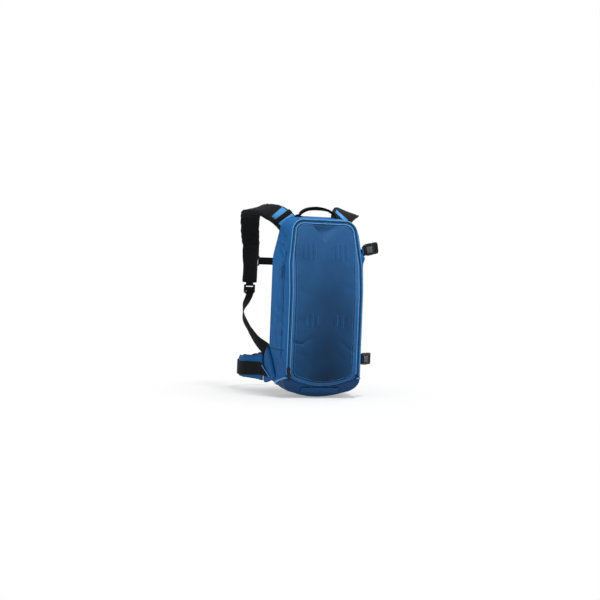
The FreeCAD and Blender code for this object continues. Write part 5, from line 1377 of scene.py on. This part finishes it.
def wing_stations(side, lift=0.0, bands=None):
    """The wing's middle line from its root to its tip, or a band that lies over it."""
    path = [(119.4, 9.2)] + [(a * BELT_Y, b * BELT_Y) for a, b in WAIST]
    if bands:
        path.insert(1, (122.4, 21.0))
    stations = []
    for i, (px, py) in enumerate(path):
        share = i / (len(path) - 1)
        high = WING_HIGH * (1 - share) + TIP_HIGH * share
        low = WING_LOW * (1 - share) + TIP_LOW * share
        ahead = unit(np.subtract(path[min(i + 1, len(path) - 1)], path[max(i - 1, 0)]))
        middle, width = bands[i] if bands else ((high + low) / 2, high - low)
        stations.append((px + ahead[1] * lift, py - ahead[0] * lift, middle, 0, 0, 1, width))
    return mirrored_stations(stations, side)


for side, label in SIDES:
    hip = body_of(f"hip_wing_{label}")
    wing = swept_piece(f"wing_core_{label}", wing_stations(side), WING_SECTION, gusset_cloth, 90)
    puffed(wing, 5.0, 1.6)
    finish_piece(wing, f"hip_wing_{label}", slot="gusset_cloth", body=hip)
    for edge, edge_name in ((-1, "low"), (1, "top")):
        name = f"wing_binding_{label}_{edge_name}"
        bound = bound_edge(name, wing, wing_stations(side), edge, 2.6, chin_cloth, 110)
        finish_piece(bound, slot="webbing", body=hip)
    print(wing.name, len(wing.data.polygons))

# %% Roots and belt webbing
ROOT_SIDE = [
    (-62, -26), (-60, -20), (-26, 32), (-14, 44), (-3, 46), (8.4, 32), (8.4, -46), (-14, -44), (-48, -34),
]
ROOT_FRONT, ROOT_BACK, ROOT_X = -62, 8.4, 114.9  # where the root starts and ends in y, and its x
ROOT_MIDDLE = (0, -20, 0)
SLANT_TOP, SLANT_FOOT = (8.1, -2.2), (-38.0, -28.6)  # y and z of the belt band's slanting end
BELT_ENDS = {"right": 52.6, "left": 72.3}  # x where the webbing enters each half of the buckle


def span_at(outline, level):
    """Between which values a closed outline of (level, value) pairs lies at a level."""
    found = []
    for (a, start), (b, end) in zip(outline, np.roll(outline, -1, axis=0)):
        if (a - level) * (b - level) <= 0 and a != b:
            found.append(start + (end - start) * (level - a) / (b - a))
    return min(found), max(found)


def root_grid(side):
    """The root: a padded panel over the corner of the bag, cut to its side outline."""
    share = np.linspace(0, 1, 30)
    rows = []
    for at in np.linspace(ROOT_FRONT, ROOT_BACK, 30):
        low, high = span_at(ROOT_SIDE, at)
        from_edge = np.minimum(share, 1 - share) * (high - low)
        dome = 1 - np.exp(-np.minimum(from_edge, min(at - ROOT_FRONT, ROOT_BACK - at + 6)) / 3.5)
        wall_x = ROOT_X - max(BACK_Y - at, 0) * SIDE_DRAW / FORM_DEPTH
        heights = low + (high - low) * share
        rows.append(np.stack([side * (wall_x + 5.2 * dome), np.full(30, at), heights], axis=1))
    return np.array(rows)


def band_on_root(side, grid):
    """The belt's band on the root, from the wing to a slanting end."""
    skin = BVHTree.FromPolygons(grid.reshape(-1, 3).tolist(), grid_faces(*grid.shape[:2]))
    rows = []
    for height in np.linspace(SLANT_FOOT[1], SLANT_TOP[1], 14):
        end = np.interp(height, (SLANT_FOOT[1], SLANT_TOP[1]), (SLANT_FOOT[0], SLANT_TOP[0] - 1.5))
        spots = []
        for u in np.linspace(0, 1, 24):
            depth = SLANT_TOP[0] + (end - SLANT_TOP[0]) * u
            lift = 1.5 + 4.4 * hump(SLANT_TOP[0] * u - end * u, 16.0)
            place, _, _, _ = skin.ray_cast(Vector((side * 160, depth, height)), Vector((-side, 0, 0)))
            spots.append((place.x + side * lift, depth, height))
        rows.append(spots)
    return np.array(rows)


for side, label in SIDES:
    grid = root_grid(side)
    root = sheet_piece(f"root_cloth_{label}", grid, gusset_cloth, 1.2, centre=ROOT_MIDDLE)
    finish_piece(root, f"wing_root_{label}", slot="gusset_cloth")
    root_edge = np.vstack([grid[:, -1][::-1], grid[0, ::-1], grid[:, 0]]) + [side * 0.9, 0, 0]
    finish_piece(tube(f"root_piping_{label}", root_edge, 0.9, gusset_cloth), slot="gusset_cloth")
    band = band_on_root(side, grid)
    band_piece = sheet_piece(f"root_band_{label}", band, webbing, 1.3, band[..., [2, 1]], ROOT_MIDDLE)
    finish_piece(band_piece, slot="webbing")
    slant = tube(f"root_slant_{label}", band[:, -1] + [side * 0.3, -0.8, 0.4], 1.3, piping_cloth)
    finish_piece(slant, slot="gusset_cloth")
    end_x = BELT_ENDS[label]
    web_line = wing_stations(side, 6.4, BAND_LEVELS)
    front_run = [(0.475 * BELT_Y, 0.96 * BELT_Y, -7), (end_x + 10, BELT_Y, BELT_Z), (end_x, BELT_Y, BELT_Z)]
    web_line += [(side * px, py, level, 0, 0, 1, 36) for px, py, level in front_run]
    belt = swept_piece(f"belt_webbing_{label}", web_line, FLAT, webbing, 120)
    finish_piece(belt, f"hip_web_{label}", slot="webbing", body=body_of(f"hip_wing_{label}"))
    print(belt.name, "from x", round(web_line[0][0], 1), "to", web_line[-1][0])

# %% [markdown]
# ## Webbing
# Webbing is woven flat band, modelled directly. The lower strap leaves the ladder lock, turns
# on to its edge round the waist and is sewn to a wedge at the corner of the bag. Where a strap
# crosses a buckle that opens, it is baked in place and joins neither body.

# %% Lower straps
LOCK_X = 113.0
SEWN_LOOP = [  # y and z of the strap's sewn loop, round the lock's top bar
    (178.6, 218), (179.4, 208), (179.3, 203), (176, 201.1), (172.7, 203), (172.6, 208), (173.4, 218),
]
LOCK_TURN = [  # the same for the free webbing, round the lock's third bar
    (175.5, 187.4), (179, 188), (179.5, 190.7), (179, 193.4), (176, 194.1), (172.9, 193.2), (172.2, 186),
]
LOWER = [
    (LOCK_X, 172.2, 190, 1, 0, 0, 20), (LOCK_X, 172.2, 178, 1, 0, 0, 20),
    (121, 166, 163, 0.85, -0.4, 0.35, 20), (140, 138, 143, 0.35, -0.45, 0.8, 20),
    (150, 101, 118, 0, -0.55, 0.83, 20), (142, 66, 86, 0, -0.5, 0.85, 20),
]
WEDGE = [
    (142, 66, 86, 0, -0.5, 0.85, 20), (129, 40, 60, 0, -0.45, 0.9, 28),
    (111.9, 12, 40, 0, 0, 1, 34), (111.6, -11.5, 36, 0, 0, 1, 34),
]
for side, label in SIDES:
    lower = swept_piece(f"lower_webbing_{label}", mirrored_stations(LOWER, side), FLAT, webbing, 90)
    finish_piece(lower, f"lower_strap_{label}", slot="webbing")
    for name, levels in (("strap_loop", SEWN_LOOP), ("lock_turn", LOCK_TURN)):
        bend = [(LOCK_X, py, pz, 1, 0, 0, 19) for py, pz in levels]
        turn = swept_piece(f"{name}_{label}", mirrored_stations(bend, side), FLAT, webbing, 60, 0.8)
        finish_piece(turn, slot="webbing")
    wedge = swept_piece(f"lower_wedge_{label}", mirrored_stations(WEDGE, side), FLAT, back_cloth, 40, 2.0)
    finish_piece(wedge, slot="back_cloth")
    print(lower.name, "and its wedge")

# %% Chest strap and compression straps
BUCKLES = [  # the socket's mouth, the buckle's axis, the height of the webbing's sewn end, the wall's way out
    ("upper", (134.743, -89.500, 314.967), (0.93238, 0.30077, 0.20051), 308, PORT_WAY),
    ("lower", (135.024, -79.474, 26.0), (0.76904, 0.6392, 0.0), 26, (0.9957, -0.0928, 0.0)),
]
PLUG_END = 16.95  # from the mouth to the end of the plug


def boxed_webbing(name, node):
    """A straight band along X in the space of its CAD piece, and its two ends."""
    low, high = cad_corners(node)
    start, end = (low + high) / 2, (low + high) / 2
    start[0], end[0] = low[0], high[0]
    stations = [(*spot, 0, 0, 1, high[2] - low[2]) for spot in np.linspace(start, end, 5)]
    return swept_piece(name, stations, FLAT, webbing, 30), tuple(start * MM), tuple(end * MM)


left_web, _, _ = boxed_webbing("chest_webbing_left", "sternum_web_left")
finish_piece(left_web, "sternum_web_left", slot="webbing", body=body_of("sternum_web_left"))
right_web, web_start, web_end = boxed_webbing("chest_webbing_right", "sternum_web_right")
chest_bend = ("sternum_release", "sternum", web_start, web_end)
finish_piece(right_web, "sternum_web_right", slot="webbing", blend=chest_bend)

for name, mouth, axis, height, out in BUCKLES:
    node = f"compression_web_{name}"
    mouth, axis, out = np.array(mouth), unit(np.array(axis)), np.array(out)
    back = unit(np.cross([0, 0, 1], axis))
    tilted = np.cross(axis, back)
    end = mouth + axis * PLUG_END
    low, high = cad_corners(node)
    rear = np.array([low[0] + 1.0, high[1] - 1.0, height - 12.0])
    spots = [
        (end - back * 2, tilted), (end + back * 1.5, tilted), (end + back * 5 - axis * 0.2, tilted),
        (end + back * 10 - axis * 2, (0, 0, 1)), ((end + rear) * 0.5 + out * 5, (0, 0, 1)),
        (rear + out * 3 - [0, 5, 0], (0, 0, 1)), (rear, (0, 0, 1)),
    ]
    stations = [(*spot, *across, 20) for spot, across in spots]
    band = swept_piece(f"compression_webbing_{name}", stations, FLAT, webbing, 60)
    bend = (body_of(f"compression_plug_{name}"), "pack", tuple(end * MM), tuple(rear * MM))
    finish_piece(band, node, slot="webbing", blend=bend)
    grip = [
        mouth + axis * (-23 + step * 1.3) + tilted * reach - back * 5.3
        for step in range(14) for reach in ((-8, 0, 8) if step % 2 else (8, 0, -8))
    ]
    ribs = tube(f"buckle_grip_{name}", grip, 0.75, grip_plastic, sides=6)
    finish_piece(ribs, slot="buckle_plastic", body=body_of(f"compression_socket_{name}"))
    print(band.name, "bends with", bend[0])

# %% [markdown]
# ## Grab handle and light loop
# The handle is webbing folded round a cord and stitched, with its flat ends sewn to two feet on
# the crown. The light loop is a strip of webbing sewn to the chin in four places, so that a
# lamp can clip to it.

# %% Handle and loop
HANDLE = [  # place and width
    (57, -27.1, 394.0, 18), (52, -27.0, 394.4, 18), (48, -27.0, 396.6, 18), (41.6, -27.2, 403.8, 17),
    (26, -27.5, 411.2, 14), (0, -27.6, 414.0, 13), (-26, -27.5, 411.2, 14), (-41.6, -27.2, 403.8, 17),
    (-48, -27.0, 396.6, 18), (-52, -27.0, 394.4, 18), (-57, -27.1, 394.0, 18),
]
handle_stations = [(px, py, pz, 0, 0.99, 0.139, width) for px, py, pz, width in HANDLE]
handle_x = sweep(handle_stations, 120)[0][:, 0]
swell = np.clip(1 - np.abs(handle_x) / 46, 0, 1) ** 0.35
handle_thick = 0.95 + 3.4 * swell
handle = swept_piece("handle_webbing", handle_stations, pad_section(2, 0.35), webbing, 120, handle_thick)
finish_piece(handle, "grab_handle", slot="webbing", body=body_of("grab_handle"))

loop_rows = []
for level in np.linspace(-61.5, -47.5, 7):
    line, normals = draped(straight((-51, -200, level), (51, -200, level), 2.5), TO_FRONT, 1.3)
    lift = 1.6 * np.abs(np.sin(line[:, 0] / 52 * math.pi * 2))[:, None]
    loop_rows.append(line + normals * lift)
loop_grid = even_rows(loop_rows)
light_loop = sheet_piece("light_loop_webbing", loop_grid, loop_webbing, 1.2, loop_grid[..., [2, 0]])
finish_piece(light_loop, "light_loop", slot="loop_cloth")
print("handle", len(handle.data.polygons), "light loop", len(light_loop.data.polygons))

# %% [markdown]
# ## Side pocket zip
# A short vertical zip on the wearer's left opens a flat pocket. Its tape shows as a narrow
# strip with a coil down the middle, under a welt on each side.

# %% Side zip
SIDE_ZIP_Y, WELT_AWAY = -82.0, 6.4
low_z, high_z = (corner[2] for corner in cad_corners("side_zip_tape"))


def beside_side_zip(away, trim, lift):
    """An upright line on the left wall beside the side zip, with outward vectors."""
    start, end = (-150, SIDE_ZIP_Y + away, low_z + trim), (-150, SIDE_ZIP_Y + away, high_z - trim)
    return draped(straight(start, end), TO_LEFT, lift)


tape_grid = even_rows([beside_side_zip(away, 0.5, 0.9)[0] for away in (-5.6, -2, 2, 5.6)])
side_tape = sheet_piece("side_zip_tape_cloth", tape_grid, tape, 0.9, tape_grid[..., [1, 2]])
finish_piece(side_tape, "side_zip_tape", slot="tape_cloth")
side_coil = beads("side_zip_coil", [beside_side_zip(0, 2, 1.3)], 1.3, (2.6, 0.8, 1.3), coil_nylon, ACROSS)
finish_piece(side_coil, slot="tape_cloth")
near, far = SIDE_ZIP_Y - WELT_AWAY, SIDE_ZIP_Y + WELT_AWAY
welt_corners = [(-150, py, pz) for py, pz in (
    (near, low_z - 1), (near, high_z + 1), (far, high_z + 1), (far, low_z - 1), (near, low_z - 1),
)]
runs = [straight(a, b) for a, b in zip(welt_corners, welt_corners[1:])]
welt_line, _ = draped(np.vstack([run[:-1] for run in runs[:-1]] + runs[-1:]), TO_LEFT, 0.4)
finish_piece(tube("side_zip_welt", welt_line, 0.8, gusset_cloth), slot="gusset_cloth")
print("side zip from z", round(low_z, 1), "to", round(high_z, 1))

# %% [markdown]
# ## Inside
# Behind the front are a sleeve that holds the reservoir against the back and an organizer
# pocket sewn on it. The reservoir is a bag of clear film, full but soft.

# %% Sleeve
low, high = cad_corners("reservoir_sleeve")
SLEEVE_Y = (low[1] + high[1]) / 2
sleeve_outline = trimmed_outline(BACK_Y - SLEEVE_Y, 3.6)
levels = np.linspace(sleeve_outline[:, 1].min() + 1, high[2] - 0.5, 60)
sleeve_rows = []
for level in levels:
    reach = span_at(sleeve_outline[:, ::-1], level)[1]
    flat_x = np.linspace(-reach, reach, 41)
    sag = 0.5 * np.cos(flat_x / reach * math.pi / 2) * np.clip((level - 100) / 136, 0, 1)
    sleeve_rows.append(np.stack([flat_x, SLEEVE_Y + sag, np.full(41, level)], axis=1))
sleeve_grid = np.array(sleeve_rows)
sleeve = walled(new_piece("sleeve_cloth", sleeve_grid, grid_faces(60, 41), lining_cloth), 1.0)
finish_piece(sleeve, "reservoir_sleeve", slot="lining")
finish_piece(tube("sleeve_binding", sleeve_grid[-1] - [0, 0, 0.6], 1.3, binding), slot="webbing")

# %% Organizer and reservoir
low, high = cad_corners("organizer_pocket")
place = np.linspace(-1, 1, 61)
rise = np.clip((1 - np.abs(place)) / 0.1, 0, 1) ** 0.5
divided = 1 - 0.8 * hump(place - 0.12, 0.02)
pocket_rows = []
for level in np.linspace(low[2] + 0.6, high[2] - 1.2, 40):
    foot = np.clip((level - low[2]) / 10, 0, 1) ** 0.5
    out = (high[1] - low[1] - 1.6) * rise * foot * divided
    pocket_rows.append(np.stack([place * (high[0] - 0.8), high[1] - 0.9 - out, np.full(61, level)], axis=1))
pocket = np.array(pocket_rows)
finish_piece(sheet_piece("organizer_cloth", pocket, lining_cloth, 1.0), "organizer_pocket", slot="lining")
finish_piece(tube("organizer_binding", pocket[-1, 2:-2] + [0, 0, 0.3], 1.1, binding), slot="webbing")

low, high = cad_corners("reservoir")
water_corners = [(low[0], high[2]), (high[0], high[2]), (high[0], low[2]), (low[0], low[2])]
water_rings = []
for turn in np.linspace(-1.35, 1.35, 9):
    away = 11 * (1 - math.cos(turn))
    flat = rounded_loop(inset(water_corners, [away + 0.6] * 4), [max(34 - away, 6)] * 4, [14] * 4, [18] * 4)
    water_rings.append(at_depth(flat, (low[1] + high[1]) / 2 + math.sin(turn) * 11.2))
water = ring_piece("reservoir_bag", np.array(water_rings), reservoir_film)
finish_piece(water, "reservoir", slot="reservoir_film")
print("reservoir, mm:", np.round(high - low, 1))

# %% [markdown]
# ## Moulded parts
# The buckles, locks, clips, sliders, pulls, cap and frame sheet stay as the CAD made them, and
# take a moulded finish here.

# %% Finishes of the CAD parts
FINISH = {
    "frame_sheet": frame_plastic, "reservoir_neck": cap_plastic, "reservoir_cap": cap_plastic,
    "main_zip_slider": slider_metal, "main_zip_pull": pull_rubber, "side_zip_slider": blue_metal,
    "side_zip_pull": blue_rubber, "hose_port": pull_rubber, "handle_feet": webbing,
    "compression_tabs": tab_webbing,
}
for name, node in nodes.items():
    node.data.materials.clear()
    node.data.materials.append(FINISH.get(name, buckle_plastic))
print("finished:", sum(1 for n in nodes.values() if n.data.materials[0] == buckle_plastic), "in acetal")

# %% [markdown]
# ## Floor, light and camera
# A pale floor just under the pack, one broad soft light above and in front, a fill from the
# left, and a white background for the camera and for clear and shiny pieces.

# %% Floor and lights
floor_material, tree, shader = new_material("floor, matt white")
fill(tree, shader, {"Base Color": "#fbfbfb", "Roughness": 0.9})
place = add(tree, "ShaderNodeTexCoord", out="Object")
reach = add(tree, "ShaderNodeVectorMath", {0: place}, "Value", operation="LENGTH")
far = add(tree, "ShaderNodeMapRange", {0: reach, 1: 0.1, 2: 0.42, 3: 0.35, 4: 1.0})
glow = add(tree, "ShaderNodeEmission", {"Color": (1, 1, 1, 1), "Strength": 1.0})
faded = add(tree, "ShaderNodeMixShader", {0: far, 1: shader.outputs[0], 2: glow})
tree.links.new(faded, tree.nodes["Material Output"].inputs["Surface"])
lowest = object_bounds()[0][2]
bpy.ops.mesh.primitive_plane_add(size=8, location=(0, 0, lowest - 0.0005))
floor = bpy.context.object
floor.name = "floor"
floor.data.materials.append(floor_material)


def area_light(name, place, size, power):
    """A round soft light, turned to the middle of the pack."""
    data = bpy.data.lights.new(name, "AREA")
    data.shape = "DISK"
    data.size = size
    data.energy = power
    obj = linked(name, data)
    obj.location = place
    obj.rotation_euler = (Vector((0, -0.06, 0.17)) - Vector(place)).to_track_quat("-Z", "Y").to_euler()


area_light("key", (0.3, -0.75, 2.45), 0.6, 42)
area_light("fill", (-2.2, -1.2, 0.9), 1.2, 9)
area_light("rim", (1.6, 0.8, 1.5), 1.0, 9)
print("floor at z, mm:", round(lowest / MM, 1))

# %% Background
world = bpy.data.worlds.new("sky")
bpy.context.scene.world = world
world.use_nodes = True
tree = world.node_tree
tree.nodes.clear()
path = add(tree, "ShaderNodeLightPath", out=None).outputs
seen = {0: path["Is Camera Ray"], 1: path["Is Glossy Ray"]}
seen = {0: add(tree, "ShaderNodeMath", seen, operation="MAXIMUM"), 1: path["Is Transmission Ray"]}
seen = add(tree, "ShaderNodeMath", seen, operation="MAXIMUM")
strength = add(tree, "ShaderNodeMapRange", {0: seen, 1: 0.0, 2: 1.0, 3: 0.26, 4: 1.0})
backdrop = add(tree, "ShaderNodeBackground", {"Color": (1, 1, 1, 1), "Strength": strength})
add(tree, "ShaderNodeOutputWorld", {"Surface": backdrop}, None)
print("background nodes:", len(tree.nodes))

# %% Camera and size
AZIMUTH, ELEVATION, ROLL, DISTANCE = math.radians(-20), math.radians(2), math.radians(2.3), 3.575
AIM = Vector((-0.0466, -0.05, 0.174))
camera_data = bpy.data.cameras.new("camera")
camera_data.lens = 82.5
camera_data.sensor_width = 36
camera = linked("camera", camera_data)
flat_way = Vector((-math.sin(AZIMUTH), math.cos(AZIMUTH), 0))
way = flat_way * math.cos(ELEVATION) - Vector((0, 0, math.sin(ELEVATION)))
camera.location = AIM - way * DISTANCE
turned = way.to_track_quat("-Z", "Y").to_matrix()
camera.rotation_euler = (turned @ Matrix.Rotation(ROLL, 3, "Z")).to_euler()

scene = bpy.context.scene
scene.camera = camera
scene.render.resolution_x = scene.render.resolution_y = 600
scene.view_settings.view_transform = "Standard"

print("camera at", tuple(round(v, 3) for v in camera.location))
